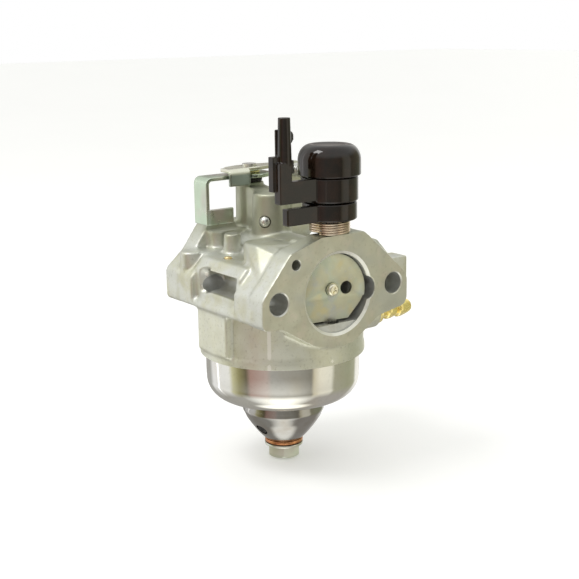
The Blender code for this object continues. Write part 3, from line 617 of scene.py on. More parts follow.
# Milled flange faces: warm beige with soft stains.
MACHINED = finish(
    "machined_aluminium", "cast_aluminium", (0.575, 0.575, 0.475), 0.9, 0.40, [
        (8, 3, 2, (0.55, 0.53, 0.42), 0.42, 0.64, 0.7), (3, 3, 17, (0.66, 0.60, 0.52), 0.52, 0.70, 0.5),
        (1.0, 3, 6, (0.42, 0.41, 0.33), 0.56, 0.72, 0.5), (13, 2, 27, (0.50, 0.52, 0.48), 0.50, 0.66, 0.6),
    ], (5, 3, 9, 0.30, 0.44), grain=[(0.3, 2, 4, 0.010, 0.5, EVEN)])
# Bored walls of the throat and the stud holes: matt grey with tool marks.
BORED = finish(
    "bored_aluminium", "cast_aluminium", (0.64, 0.65, 0.62), 0.7, 0.40,
    [(5, 3, 12, (0.50, 0.49, 0.44), 0.45, 0.65, 0.7)],
    (3, 2, 1, 0.36, 0.50), grain=[(0.5, 1, 2, 0.004, 0.4, (1, 6, 1))])
# Bright plated deep-drawn steel with faint waviness and a warm cast.
BOWL = finish(
    "bowl_steel", "bowl_steel", (0.84, 0.83, 0.79), 1.0, 0.07,
    [(11, 2, 4, (0.80, 0.75, 0.64), 0.45, 0.70, 0.6), (1.2, 3, 14, (0.70, 0.69, 0.65), 0.55, 0.75, 0.4)],
    (3, 3, 7, 0.05, 0.11),
    grain=[(7, 1, 10, 0.05, 0.35, (1, 1, 0.35)), (0.5, 2, 15, 0.003, 0.5, (1, 1, 0.2))])
# Sediment cup: plated steel drawn darker than the bowl, a painted shade for the dark surroundings it
# reflects.
CUP = finish(
    "cup_steel", "bowl_steel", (0.44, 0.43, 0.41), 1.0, 0.17,
    [(6, 2, 14, (0.38, 0.35, 0.31), 0.45, 0.65, 0.7)],
    (3, 3, 7, 0.08, 0.17), grain=[(0.5, 2, 15, 0.003, 0.4, (1, 1, 0.2))])
# Zinc plate with pale yellow-green passivation in soft patches.
ZINC = finish(
    "zinc_steel", "zinc_steel", (0.72, 0.74, 0.64), 0.9, 0.36, [
        (9, 2, 4, (0.66, 0.73, 0.62), 0.40, 0.62, 0.7), (7, 2, 11, (0.62, 0.58, 0.53), 0.52, 0.72, 0.6),
        (5, 2, 19, (0.66, 0.66, 0.44), 0.52, 0.70, 0.6),
    ], (4, 2, 6, 0.30, 0.42), ((0.82, 0.81, 0.74), 0.5), [(0.4, 1, 9, 0.003, 0.4, EVEN)])
# Throttle levers: stamped steel with green, olive and mauve passivation colours.
CHROMATE = finish(
    "chromate_steel", "zinc_steel", (0.58, 0.68, 0.54), 1.0, 0.28,
    [(10, 1, 7, (0.62, 0.54, 0.50), 0.50, 0.66, 0.8), (7, 1, 23, (0.54, 0.62, 0.52), 0.50, 0.66, 0.6)],
    (5, 2, 16, 0.26, 0.36), ((0.86, 0.88, 0.80), 0.5), [(0.6, 1, 5, 0.002, 0.4, (0.3, 1, 1))])
# Choke plate: zinc with soft yellow, green and blue passivation clouds.
PLATE = finish(
    "plate_steel", "zinc_steel", (0.60, 0.60, 0.45), 0.9, 0.38, [
        (7, 2, 4, (0.52, 0.60, 0.50), 0.40, 0.60, 0.8), (6, 2, 11, (0.66, 0.60, 0.34), 0.52, 0.68, 0.8),
        (5, 2, 19, (0.50, 0.54, 0.56), 0.54, 0.70, 0.8), (0.5, 2, 3, (0.72, 0.70, 0.58), 0.60, 0.75, 0.5),
    ], (2, 2, 6, 0.32, 0.44), ((0.88, 0.86, 0.72), 0.6), [(0.3, 2, 9, 0.006, 0.5, EVEN)])
# Screw heads with a pale yellow plate.
BRIGHT = finish(
    "bright_screw", "bright_steel", (0.90, 0.87, 0.72), 0.9, 0.25,
    [(1.2, 2, 5, (0.95, 0.88, 0.60), 0.45, 0.65, 0.6)],
    (1, 2, 7, 0.18, 0.32), grain=[(0.3, 1, 2, 0.004, 0.4, EVEN)])
# Turned steel of the shafts and screws.
STEEL = finish(
    "bright_steel", "bright_steel", (0.70, 0.70, 0.66), 1.0, 0.28,
    [(2.5, 2, 3, (0.60, 0.60, 0.54), 0.50, 0.70, 0.5)], (1.5, 2, 8, 0.24, 0.36), ((0.90, 0.89, 0.86), 0.4))
# Drawn spring wire with a brown-bronze tint.
SPRING = finish(
    "spring_steel", "spring_steel", (0.66, 0.53, 0.40), 1.0, 0.22,
    [(6, 1, 6, (0.74, 0.66, 0.54), 0.45, 0.65, 0.7)], (4, 1, 4, 0.18, 0.26))
# Machined brass of the jets and plugs.
BRASS = finish(
    "brass", "brass", (0.80, 0.62, 0.30), 1.0, 0.25, [(1.8, 3, 5, (0.68, 0.48, 0.20), 0.45, 0.68, 0.7)],
    (1, 3, 9, 0.18, 0.36), ((0.95, 0.82, 0.50), 0.5), [(0.2, 2, 3, 0.004, 0.5, (1, 1, 5))])
# Fuel pipe: bright golden plating, deeper gold in soft patches.
YELLOW = finish(
    "yellow_plated", "yellow_plated", (1.0, 0.85, 0.32), 0.75, 0.24,
    [(2.2, 3, 9, (0.92, 0.62, 0.10), 0.50, 0.68, 0.6)],
    (1.2, 2, 2, 0.14, 0.30), ((1.0, 0.90, 0.55), 0.6), [(0.3, 2, 12, 0.005, 0.5, EVEN)])
# Soft copper washer, darker where it has oxidised.
COPPER = finish(
    "copper", "copper", (0.74, 0.36, 0.17), 1.0, 0.30, [(2, 3, 8, (0.45, 0.18, 0.08), 0.42, 0.62, 0.8)],
    (1, 2, 5, 0.24, 0.44), grain=[(0.4, 2, 6, 0.008, 0.5, EVEN)])
# Matt moulded float and matt seal rubber.
FLOAT = finish(
    "float_plastic", "float_plastic", (0.035, 0.035, 0.035), 0.0, 0.55,
    [(3, 3, 5, (0.06, 0.058, 0.055), 0.45, 0.65, 0.8)],
    (1, 2, 2, 0.45, 0.65), grain=[(0.3, 2, 7, 0.02, 0.5, EVEN)])
RUBBER = finish(
    "black_rubber", "black_rubber", (0.018, 0.017, 0.016), 0.0, 0.68,
    [(1.5, 2, 4, (0.035, 0.032, 0.03), 0.45, 0.65, 0.8)], (0.8, 2, 3, 0.55, 0.80),
    grain=[(0.25, 2, 5, 0.015, 0.5, EVEN)])


# ---------------------------------------------------------------- body casting

def front_outline():
    """Air-cleaner flange, as (x, z) corners with radii."""
    corners = [
        (-6.0, 18.4, 2.5), (-18.0, 14.7, 2.5), (-28.6, 2.0, 3.0), (-28.8, -7.4, 2.2),
        (-21.6, -7.9, 4.0), (-9.8, -15.0, 6.0), (-4.5, -16.7, 6.0), (0.5, -17.2, 8.0),
        (6.0, -16.4, 6.0), (11.3, -13.0, 6.0), (16.5, -9.6, 5.0), (28.3, -7.6, 3.0),
        (28.3, 2.4, 4.5), (21.0, 9.0, 6.0), (10.4, 18.4, 3.5),
    ]
    return rounded(corners)


def rear_outline():
    """Engine flange, as (x, z) corners with radii."""
    corners = [
        (-16.0, 17.0, 2.0), (-22.2, 8.7, 3.0), (-28.7, 3.2, 2.5), (-28.7, EAR_BOTTOM, 1.5),
        (-21.0, -8.2, 4.0), (-10.0, -14.4, 6.0), (-5.0, -16.4, 6.0), (0.0, -17.0, 8.0),
        (5.0, -16.4, 6.0), (10.0, -14.4, 6.0), (21.0, -8.2, 4.0), (28.7, EAR_BOTTOM, 1.5),
        (28.7, 3.2, 2.5), (22.2, 8.7, 3.0), (16.0, 17.0, 2.0),
    ]
    return rounded(corners)


def ear_outline(side, outer, slope, top):
    """Section of a stud ear: upright outer face, sloped shoulder, flat top."""
    corners = [
        (side * outer, EAR_BOTTOM, 0.8), (side * outer, slope, 1.5),
        (side * (outer - (top - slope) * 0.9), top, 1.5), (side * 10.0, top, 0.0),
        (side * 10.0, EAR_BOTTOM, 0.0),
    ]
    return rounded(corners)


def stud_tunnel(side):
    """Ears at both flanges, joined by a set-back rail and a low strip."""
    front_end = FRONT_Y + FRONT_EAR_LENGTH
    rear_end = -REAR_EAR_LENGTH
    return [
        prism("front_ear", ear_outline(side, EAR_X, 1.4, 12.6), FRONT_Y + 1.0, front_end, "Y"),
        prism("front_hump", ear_outline(side, EAR_X - 1.6, 3.4, 14.9), FRONT_Y + 1.0, front_end + 3.2, "Y"),
        prism("rear_ear", ear_outline(side, EAR_X, 2.4, 9.6), rear_end, -1.0, "Y"),
        prism("rail", ear_outline(side, RAIL_X, WINDOW_HIGH, SHELF_Z), front_end - 1, rear_end + 1, "Y"),
        prism("strip", ear_outline(side, EAR_X, EAR_BOTTOM + 1.4, -4.1), front_end - 1, rear_end + 1, "Y"),
    ]


def stop_axis(y):
    """A point on the throttle stop screw's axis."""
    return (7.7, y, 34.5)


def pilot_axis(x):
    """A point on the pilot screw's axis."""
    return (x, -12.4, 13.4)


def casting_bosses():
    """Upright bosses and small lugs on top of the throat."""
    web = [(THROTTLE_Y, 10), (THROTTLE_Y, 29.4), (-13.6, 28.8), (TOWER_Y, TOWER_TOP), (TOWER_Y, 10)]
    ridge = rounded([(-20.4, -40.0, 0.5), (-20.4, -30.3, 4.5), (-9.0, -30.3, 1.0), (-9.0, -40.0, 0.5)])
    deck = rounded([(-16.8, -12.0, 3.5), (15.5, -12.0, 3.5), (15.5, -1.0, 0.5), (-16.8, -1.0, 0.5)])
    return [
        upright("throttle_boss", THROTTLE_Y, 8, THROTTLE_BOSS_TOP, THROTTLE_BOSS_R + 0.2, THROTTLE_BOSS_R),
        upright("throttle_foot", THROTTLE_Y, 8.5, 14.9, 7.6, THROTTLE_BOSS_R + 0.2),
        upright("tower", TOWER_Y, 8, TOWER_TOP, TOWER_R + 0.7, TOWER_R),
        prism("web", web, -3.6, 3.6, "X"),
        upright("choke_boss", CHOKE_Y, 8, CHOKE_BOSS_TOP, 3.9),
        box("choke_pad", (-9.5, -49.0, 8), (9.5, -42.5, 16.6)),
        box("spring_lug", (6.9, -48.6, 12), (9.4, -45.4, 22.4)),
        upright("passage_rib", -16.9, 5, 15.2, 3.3, 2.6, x=-13.5),
        hull("front_ridge", [(x, y, z) for x, y in ridge for z in (5, 15.4)] + [
            (-24.0, -47.0, 6.5), (-18.6, -47.0, 13.6), (-8.0, -47.0, 15.6), (-8.0, -47.0, 5.0)]),
        upright("ear_boss", -9.2, 2, 9.7, 3.9, x=-24.1),
        prism("rear_deck", deck, 5, 15.2),
        box("stop_lug", (2.0, -23.0, 20.0), (10.6, -19.0, 37.0)),
        rod("pilot_boss", pilot_axis(9.0), pilot_axis(21.0), 3.4),
        box("inlet_housing", (15.0, -48.0, -8.2), (34.4, -40.5, 6.4)),
        rod("inlet_boss", (12.0, FUEL_Y, FUEL_Z), (24.0, FUEL_Y, FUEL_Z), 4.8),
    ]


def skirt():
    """Round skirt over the bowl's rim, with the flat panel on its left."""
    profile = [
        (0, SKIRT_BOTTOM - 1), (SKIRT_R, SKIRT_BOTTOM - 1), (SKIRT_R, PANEL_BOTTOM - 0.3),
        (SKIRT_WALL_R, PANEL_BOTTOM), (SKIRT_WALL_R, SKIRT_TOP), (0, SKIRT_TOP),
    ]
    near, far = BOWL_Y - PANEL_HALF, BOWL_Y + PANEL_HALF
    return [
        turned("skirt", profile, (0, BOWL_Y, 0), segments=128),
        box("panel", (PANEL_X, near, PANEL_BOTTOM), (-20.0, far, SKIRT_TOP + 0.5)),
    ]


def window_cutter(side):
    """Side opening of a stud tunnel: a slot with a round far wall and a flared rear end."""
    middle = (WINDOW_LOW + WINDOW_HIGH) / 2
    half = (WINDOW_HIGH - WINDOW_LOW) / 2
    rear, flare_front = WINDOW_REAR - 1.5, -23.0
    outer = side * (RAIL_X + 4)
    inner = side * 22.2
    low = (min(outer, inner), WINDOW_FRONT, WINDOW_LOW)
    high = (max(outer, inner), rear, WINDOW_HIGH)
    far_wall = rod("far_wall", (inner, WINDOW_FRONT, middle), (inner, rear, middle), half)
    mouth = rounded([
        (flare_front, WINDOW_LOW, 0.0), (FLARE_REAR, -3.9, 1.2), (FLARE_REAR, 9.4, 5.5),
        (-21.0, 9.4, 1.5), (flare_front, WINDOW_HIGH, 0.0),
    ])
    throat = rounded([
        (flare_front, WINDOW_LOW, 0.0), (WINDOW_REAR - 1, WINDOW_LOW, 1.5),
        (WINDOW_REAR - 1, WINDOW_HIGH, 2.2), (flare_front, WINDOW_HIGH, 0.0),
    ])
    points = [(side * 29.5, y, z) for y, z in mouth] + [(side * 24.4, y, z) for y, z in throat]
    return fuse(box("slot", low, high), [far_wall, hull("flare", points)])


def throat_cutter():
    """Choke bore, venturi and throttle bore, with a ledge that fills the choke bore's foot."""
    rim, mouth = CHAMFER, 0.9
    profile = [
        (0, FRONT_Y - 2), (CHOKE_BORE_R + mouth + 2, FRONT_Y - 2), (CHOKE_BORE_R + mouth, FRONT_Y),
        (CHOKE_BORE_R, FRONT_Y + 0.6), (CHOKE_BORE_R, -41.5), (CHOKE_BORE_R - 0.5, -40.4),
        (10.3, -35.2), (8.2, -30.6), (VENTURI_R, -28.0), (VENTURI_R, -24.5), (8.0, -21.6), (9.2, -17.4),
        (THROTTLE_BORE_R, -16.0), (THROTTLE_BORE_R, -rim), (THROTTLE_BORE_R + rim, 0),
        (THROTTLE_BORE_R + rim + 2, 2), (0, 2),
    ]
    throat = turned("throat", profile, direction=(0, 1, 0), segments=128)
    reach = CHOKE_BORE_R + 1
    ledge = box("ledge", (-reach, LEDGE_Y, -reach), (reach, LEDGE_END, CHOKE_FLAT_Z - GAP))
    return cut(throat, [ledge])


BALL_AT = Vector((-5.2, TOWER_Y - 3.45, 18.8))
BALL_OUT = Vector((-0.83, -0.556, 0.0))
PLUG_AT = Vector((-19.6, -23.5, SHELF_Z))


def drilled_holes():
    """Every drilled hole of the casting, with chamfered mouths where they show."""
    holes = [
        drill((0, THROTTLE_Y, THROTTLE_BOSS_TOP), (0, THROTTLE_Y, SHAFT_HOLE_BOTTOM), SHAFT_HOLE_R),
        drill((0, CHOKE_Y, CHOKE_BOSS_TOP), (0, CHOKE_Y, SHAFT_HOLE_BOTTOM), SHAFT_HOLE_R),
        drill((-16.0, FRONT_Y, 11.1), (-16.0, FRONT_Y + 11, 11.1), 1.6, 0.15),
        drill((POCKET_X, FRONT_Y, STUD_Z), (POCKET_X, FRONT_Y + POCKET_DEPTH, STUD_Z), POCKET_R, 0.2),
        upright("nozzle_hole", BOWL_Y, 0, STEM_BOTTOM - 1, 2.5),
        rod("inlet_hole", (16.5, FUEL_Y, FUEL_Z), (25.0, FUEL_Y, FUEL_Z), 2.6),
        drill(pilot_axis(21.0), pilot_axis(11.5), 1.5, 0.3),
        rod("stop_screw_hole", stop_axis(-24.0), stop_axis(-18.0), 1.7),
        drill(BALL_AT + BALL_OUT * 1.0, BALL_AT - BALL_OUT * 1.2, 2.05, 0.2),
        drill(PLUG_AT, PLUG_AT - ABOVE * 2, 1.5, 0.2),
    ]
    for side in (-1, 1):
        x = side * STUD_X
        for start, end in ((FRONT_Y, WINDOW_FRONT + 1.5), (0, WINDOW_REAR - 3.0)):
            holes.append(drill((x, start, STUD_Z), (x, end, STUD_Z), STUD_HOLE_R))
    return holes


def machining_planes():
    """Blocks that cut the flange faces, the bosses' tops and the skirt's lip flat."""
    reach = 60.0
    return [
        box("front_face", (-reach, FRONT_Y - 10, -reach), (reach, FRONT_Y, reach)),
        box("rear_face", (-reach, 0, RELIEF_LOW), (reach, 10, reach)),
        box("skirt_lip", (-reach, -reach * 2, -reach), (reach, reach, SKIRT_BOTTOM)),
    ]


def true_up(body):
    """Bring the skirt's round wall back to its exact radius."""
    for vertex in body.data.vertices:
        at = vertex.co
        reach = math.hypot(at.x, at.y - BOWL_Y)
        on_wall = abs(reach - SKIRT_WALL_R) < 0.2 and PANEL_BOTTOM + 0.8 < at.z < -9.0
        if on_wall and at.y > FRONT_Y + FLANGE_T + 0.4:
            scale = SKIRT_WALL_R / reach
            vertex.co = (at.x * scale, BOWL_Y + (at.y - BOWL_Y) * scale, at.z)


def paint_casting(body):
    """Give milled faces and bored walls their own finish, by where they lie."""
    mesh = body.data
    mesh.materials.append(MACHINED[0])
    mesh.materials.append(BORED[0])
    for face in mesh.polygons:
        at = face.center / MM
        flat_y = abs(face.normal.y) > 0.97
        if flat_y and (abs(at.y - FRONT_Y) < 0.05 or abs(at.y) < 0.05):
            face.material_index = 1
            face.use_smooth = False
            continue
        from_axis = math.hypot(at.x, at.z)
        from_stud = math.hypot(abs(at.x) - STUD_X, at.z - STUD_Z)
        from_pocket = math.hypot(at.x - POCKET_X, at.z - STUD_Z)
        in_bore = from_axis < CHOKE_BORE_R + 0.02 or from_stud < STUD_HOLE_R + 0.02
        in_pocket = from_pocket < POCKET_R + 0.02 and at.y < FRONT_Y + POCKET_DEPTH + 0.1
        in_window = WINDOW_FRONT - 1 < at.y < WINDOW_REAR and abs(at.x) < 25.0
        if in_bore or in_pocket or (in_window and from_stud < STUD_HOLE_R + 0.5):
            face.material_index = 2


def carburetor_body():
    shapes = [
        rod("barrel", (0, FRONT_Y, 0), (0, 0, 0), BARREL_R, segments=96),
        prism("front_flange", front_outline(), FRONT_Y - SKIM, FRONT_Y + FLANGE_T, "Y"),
        prism("rear_flange", rear_outline(), -FLANGE_T, SKIM, "Y"),
    ]
    for side in (-1, 1):
        shapes += stud_tunnel(side)
    body = moulded("body", shapes + skirt() + casting_bosses(), CAST_VOXEL, 4)
    skinned(cut(body, [window_cutter(side) for side in (-1, 1)]), CAST_VOXEL, 3)
    true_up(body)
    cavity = upright("cavity", BOWL_Y, SKIRT_BOTTOM - 3, SKIRT_ROOF, BOWL_R + 0.3, segments=128)
    cut(body, machining_planes() + [cavity])
    fuse(body, [
        upright("stem", BOWL_Y, SKIRT_ROOF + 1, STEM_BOTTOM, STEM_R),
        upright("seat_boss", BOWL_Y, SKIRT_ROOF + 1, -16.6, 3.2, x=13.5),
        upright("pilot_stem", BOWL_Y - 6.5, SKIRT_ROOF + 1, -19.6, 2.6, x=-11.0),
    ])
    cut(body, [throat_cutter()] + drilled_holes())
    piece(body, "carburetor_body", CAST, "housing", 38, name="body_casting")
    paint_casting(body)


def passage_plugs():
    dome = arc((0, -0.6), 1.95, 26, 88, 8)
    ball = turned("ball", [(0, -1.0), (1.75, -1.0)] + dome + [(0, 1.36)], BALL_AT, BALL_OUT, 48)
    piece(ball, "ball_plug", STEEL, "housing")
    dome = arc((0.8, 0.1), 0.45, 0, 90, 4)
    plug = turned("plug", [(0, -1.6), (1.25, -1.6), (1.25, 0.1)] + dome + [(0, 0.6)], PLUG_AT, segments=32)
    piece(plug, "passage_plug", BRASS, "housing")


# ---------------------------------------------------------------- bowl group

def float_bowl():
    """Deep-drawn bowl: straight wall, faint crease, rounded foot and flat bottom."""
    bottom, wall, corner = BOWL_LOW.z, 0.7, 7.0
    centre = (BOWL_R - corner, bottom + corner)
    outside = [(BOWL_R, BOWL_HIGH.z), (BOWL_R, -24.5), (BOWL_R - 0.04, -31.0), (BOWL_R - 0.12, -31.6)]
    outside += [(r - 0.12, z) for r, z in arc(centre, corner, -2, -88, 18)]
    outside += [(12.0, bottom), (BOLT_HOLE_R, bottom)]
    inside = [(BOLT_HOLE_R, bottom + wall), (12.0, bottom + wall)]
    inside += arc(centre, corner - wall, -88, 0, 12) + [(BOWL_R - wall, BOWL_HIGH.z)]
    bowl = turned("bowl", outside + inside, (0, BOWL_Y, 0), segments=160)
    piece(bowl, "float_bowl", BOWL, "housing", 40, name="bowl_shell")


DRAIN_OUT = Vector((-0.80, -0.12, -0.59))
DRAIN_AT = Vector((-10.3, BOWL_Y - 1.6, -49.9))


def sediment_cup():
    """Cup under the bowl: short wall, soft lip, then a bulging cone down to the washer."""
    top, low, lip = CUP_HIGH.z, CUP_LOW.z, CUP_HIGH.x
    outside = [
        (lip - 0.8, top), (lip - 0.65, top - 2.0), (lip - 0.35, -42.9), (lip - 0.05, -43.5),
        (lip, -43.9), (lip - 0.12, -44.5), (lip - 0.6, -45.3), (12.5, -46.7), (11.5, -48.3),
        (10.3, -50.0), (9.0, -51.7), (7.8, -53.1), (6.9, -54.0), (6.4, low), (BOLT_HOLE_R, low),
    ]
    inside = [
        (BOLT_HOLE_R, low + 0.9), (5.7, low + 0.9), (7.8, -51.5), (10.3, -48.4), (11.6, -45.1),
        (lip - 1.6, -42.7), (lip - 1.6, top),
    ]
    cup = turned("cup", outside + inside, (0, BOWL_Y, 0), segments=128)
    cut(cup, [rod("drain_hole", DRAIN_AT - DRAIN_OUT * 3, DRAIN_AT + DRAIN_OUT * 3, 2.2)])
    piece(cup, "sediment_cup", CUP, "housing", 40, name="cup_shell")
    profile = [
        (0, -1.6), (1.75, -1.6), (1.85, -1.4), (1.85, -0.5), (1.6, -0.2), (0.8, -0.2), (0.6, -0.4),
        (0, -0.4),
    ]
    plug = turned("drain", profile, DRAIN_AT, DRAIN_OUT, 48)
    piece(plug, "drain_plug", RUBBER, "housing")


def bowl_fastener():
    """Copper washer and the hexagon bolt, whose corners are chamfered round."""
    low, high = frame_box("bowl_washer")
    edge = 0.3
    outline = arc((high.x - edge, low.z + edge), edge, -90, 0, 4)
    outline += arc((high.x - edge, high.z - edge), edge, 0, 90, 4)
    washer = turned("washer", [(BOLT_HOLE_R, low.z)] + outline + [(BOLT_HOLE_R, high.z)], (0, BOWL_Y, 0))
    piece(washer, "bowl_washer", COPPER, "housing", name="washer_detail")
    low, high = frame_box("bowl_bolt")
    hexagon = []
    for k in range(6):
        angle = math.radians(HEX_DEG + 60 * k)
        hexagon.append((HEX_R * math.cos(angle), BOWL_Y + HEX_R * math.sin(angle)))
    collar_top, head_top = frame_box("bowl_washer")[0].z - GAP, low.z + 4.0
    head = prism("bolt", hexagon, low.z, head_top)
    rounder = [
        (0, low.z), (4.7, low.z), (5.3, low.z + 0.35), (5.8, low.z + 0.95), (5.9, head_top + 1),
        (0, head_top + 1),
    ]
    combine(head, [turned("rounder", rounder, (0, BOWL_Y, 0))], "INTERSECT")
    bevelled(head, 0.14, 2)
    base = head_top - 0.1
    collar = [
        (0, base), (5.8, base), (6.3, base + 0.15), (6.45, base + 0.6), (6.4, collar_top),
        (0, collar_top),
    ]
    shank = upright("shank", BOWL_Y, base, high.z, 2.9)
    fuse(head, [turned("collar", collar, (0, BOWL_Y, 0)), shank])
    piece(head, "bowl_bolt", ZINC, "housing", 30)


# ---------------------------------------------------------------- fuel pipe

def fuel_inlet_pipe():
    """Barbed pipe with rounded barbs, a collar and an open end."""
    profile = [
        (1.3, 17.5), (2.3, 17.5), (2.3, 24.4), (3.6, 24.4), (3.8, 24.7), (3.8, 25.9), (3.5, 26.2),
        (2.5, 26.5), (2.35, 27.2), (2.35, 28.8), (2.9, 29.1), (3.1, 29.5), (3.1, 30.6), (2.8, 32.2),
        (2.4, 33.4), (2.35, 33.6), (2.9, 33.9), (3.1, 34.3), (3.1, 35.3), (2.8, 37.0), (2.35, 38.9),
        (2.1, 39.5), (1.9, 39.6), (1.4, 39.6), (1.3, 39.4),
    ]
    pipe = turned("pipe", profile, (0, FUEL_Y, FUEL_Z), (1, 0, 0), 64)
    piece(pipe, "fuel_inlet_pipe", YELLOW, "housing", 40, name="fuel_pipe_detail")


# ---------------------------------------------------------------- throttle group

def throttle_parts():
    """Bent-sheet lever, spacer, top plate and seal round the throttle shaft."""
    thick, bend = 1.2, 2.2
    low, top = LEVER_HIGH.z - thick, LEVER_HIGH.z
    left, strap_low = LEVER_LOW.x, LEVER_LOW.z
    near, far = THROTTLE_Y - 3.75, THROTTLE_Y + 3.75
    # Section in x and z: flat arm, outer bend, upright strap.
    centre = (left + bend, top - bend)
    section = [(-2.0, top)] + arc(centre, bend, 90, 180, 8) + [(left, strap_low)]
    section += [(left + thick, strap_low)] + arc(centre, bend - thick, 180, 90, 6) + [(-2.0, low)]
    arm = prism("arm", section, near, far, "Y")
    # Plan of the foot in x and y: from the strap's near edge round a bend to the right.
    foot_near = near - 0.6
    centre = (left + 1.8, foot_near + 1.8)
    plan = [(-9.5, foot_near)] + arc(centre, 1.8, 270, 180, 6) + [(left, near + 2.5)]
    plan += [(left + thick, near + 2.5)] + arc(centre, 0.6, 180, 270, 4)
    plan += [(-9.5, foot_near + thick)]
    foot = prism("foot", plan, strap_low, 22.6)
    hub = upright("hub", THROTTLE_Y, low, top, 7.0)
    lever = moulded("lever", [hub, arm, foot], 0.2, 2)
    cut(lever, [
        upright("hole", THROTTLE_Y, low - 1, top + 1, SHAFT_R + 0.25),
        box("notch", (-12.0, THROTTLE_Y - 8.0, low - 1), (-3.2, near - 0.65, top + 1)),
    ])
    piece(lever, "throttle_lever", CHROMATE, "throttle_rotor", 40)

    low, high = frame_box("throttle_spacer")
    profile = [
        (2.65, low.z), (3.35, low.z), (3.5, low.z + 0.15), (3.5, high.z - 0.15), (3.35, high.z),
        (2.65, high.z),
    ]
    spacer = turned("spacer", profile, (0, THROTTLE_Y, 0))
    piece(spacer, "throttle_spacer", YELLOW, "throttle_rotor")

    corners = [(-9.6, THROTTLE_Y - 4.6, 0.6), (-9.6, THROTTLE_Y + 1.8, 2.5), (-3.0, THROTTLE_Y + 3.8, 3.0),
               (5.0, THROTTLE_Y + 3.4, 3.0), (10.4, THROTTLE_Y + 2.0, 1.5), (10.4, THROTTLE_Y - 1.0, 1.0),
               (5.5, THROTTLE_Y - 3.4, 3.0), (1.0, THROTTLE_Y - 4.6, 3.0)]
    plate = prism("plate", rounded(corners), TOP_HIGH.z - thick, TOP_HIGH.z)
    web_near = TOP_LOW.y
    # Section in y and z: the plate's edge bends down into the upright web.
    centre = (web_near + 1.9, TOP_HIGH.z - 1.9)
    section = [(THROTTLE_Y, TOP_HIGH.z)] + arc(centre, 1.9, 90, 180, 6)
    section += [(web_near, TOP_LOW.z), (web_near + thick, TOP_LOW.z)]
    section += arc(centre, 0.7, 180, 90, 5) + [(THROTTLE_Y, TOP_HIGH.z - thick)]
    web = prism("web", section, TOP_LOW.x, -3.6, "X")
    top_plate = moulded("top_plate", [plate, web], 0.2, 2)
    cut(top_plate, [upright("hole", THROTTLE_Y, 30, 40, SHAFT_R + 0.25)])
    piece(top_plate, "throttle_top_plate", TOP_PLATE_LIT_SHADED, "throttle_rotor", 40)

    low, high = frame_box("throttle_seal")
    profile = [
        (2.75, low.z), (4.1, low.z), (4.2, low.z + 0.2), (4.2, high.z - 0.3), (3.9, high.z),
        (2.75, high.z),
    ]
    piece(turned("seal", profile, (0, THROTTLE_Y, 0)), "throttle_seal", RUBBER, "housing")


def butterfly(radius, thickness, pivot_y, flat_low):
    """A round plate on the front flat of a shaft, with an optional straight lower edge."""
    steps = 120
    outline = []
    for k in range(steps):
        angle = 2 * math.pi * k / steps
        if radius * math.sin(angle) >= flat_low:
            outline.append((radius * math.cos(angle), radius * math.sin(angle)))
    return prism("plate", outline, pivot_y - 0.15 - thickness, pivot_y - 0.15, "Y")


def plate_screw(pivot_y, thickness, degrees, z=0.0):
    """Pan-head screw with a crossed recess."""
    face = pivot_y - 0.15 - thickness
    profile = [
        (0, -2.0), (1.0, -2.0), (1.0, thickness + 0.2), (2.1, thickness + 0.23), (2.14, thickness + 0.6),
    ]
    profile += arc((1.05, thickness + 0.55), 1.0, 20, 80, 6) + [(0, thickness + 1.52)]
    head = turned("screw", profile, (0, pivot_y - 0.15, z), (0, -1, 0), 48)
    for across, up in ((1.0, 0.23), (0.23, 1.0)):
        cut(head, [box("recess", (-across, face - 2.0, z - up), (across, face - 0.85, z + up))])
    turn(head, 20, (0, pivot_y, z), "Y")
    return turn(head, degrees, (0, pivot_y, 0))


def choke_valve():
    """Choke plate with its air hole, straight lower edge and clipped corner, held by one screw."""
    pivot = (0, CHOKE_Y, 0)
    near, far = CHOKE_Y - 4, CHOKE_Y + 2
    hole_x, hole_z, hole_r = AIR_HOLE
    plate = butterfly(CHOKE_PLATE_R, 0.9, CHOKE_Y, CHOKE_FLAT_Z)
    corner = [(5.5, CHOKE_FLAT_Z), (10.4, -4.2), (11.4, -2.5), (14.0, -2.5), (14.0, -11.0), (5.5, -11.0)]
    cut(plate, [
        rod("air_hole", (hole_x, near, hole_z), (hole_x, far, hole_z), hole_r),
        rod("screw_hole", (0, near, CHOKE_SCREW_Z), (0, far, CHOKE_SCREW_Z), 1.2),
        prism("corner", corner, near, far, "Y"),
    ])
    bevelled(plate, 0.12, 2)
    turn(plate, CHOKE_REST_DEG, pivot)
    piece(plate, "choke_plate", PLATE, "choke_rotor", 30)
    screw = plate_screw(CHOKE_Y, 0.9, CHOKE_REST_DEG, CHOKE_SCREW_Z)
    piece(screw, "choke_plate_screw", BRIGHT, "choke_rotor", name="choke_screw_detail")


def throttle_valve():
    pivot = (0, THROTTLE_Y, 0)
    plate = butterfly(THROTTLE_BORE_R - 0.3, 0.8, THROTTLE_Y, -99)
    cut(plate, [rod("screw_hole", (0, THROTTLE_Y - 4, 0), (0, THROTTLE_Y + 4, 0), 1.2)])
    bevelled(plate, 0.12, 2)
    turn(plate, THROTTLE_REST_DEG, pivot)
    piece(plate, "throttle_plate", BRASS, "throttle_rotor", 30)
    screw = plate_screw(THROTTLE_Y, 0.8, THROTTLE_REST_DEG)
    piece(screw, "throttle_plate_screw", STEEL, "throttle_rotor", name="throttle_screw_detail")


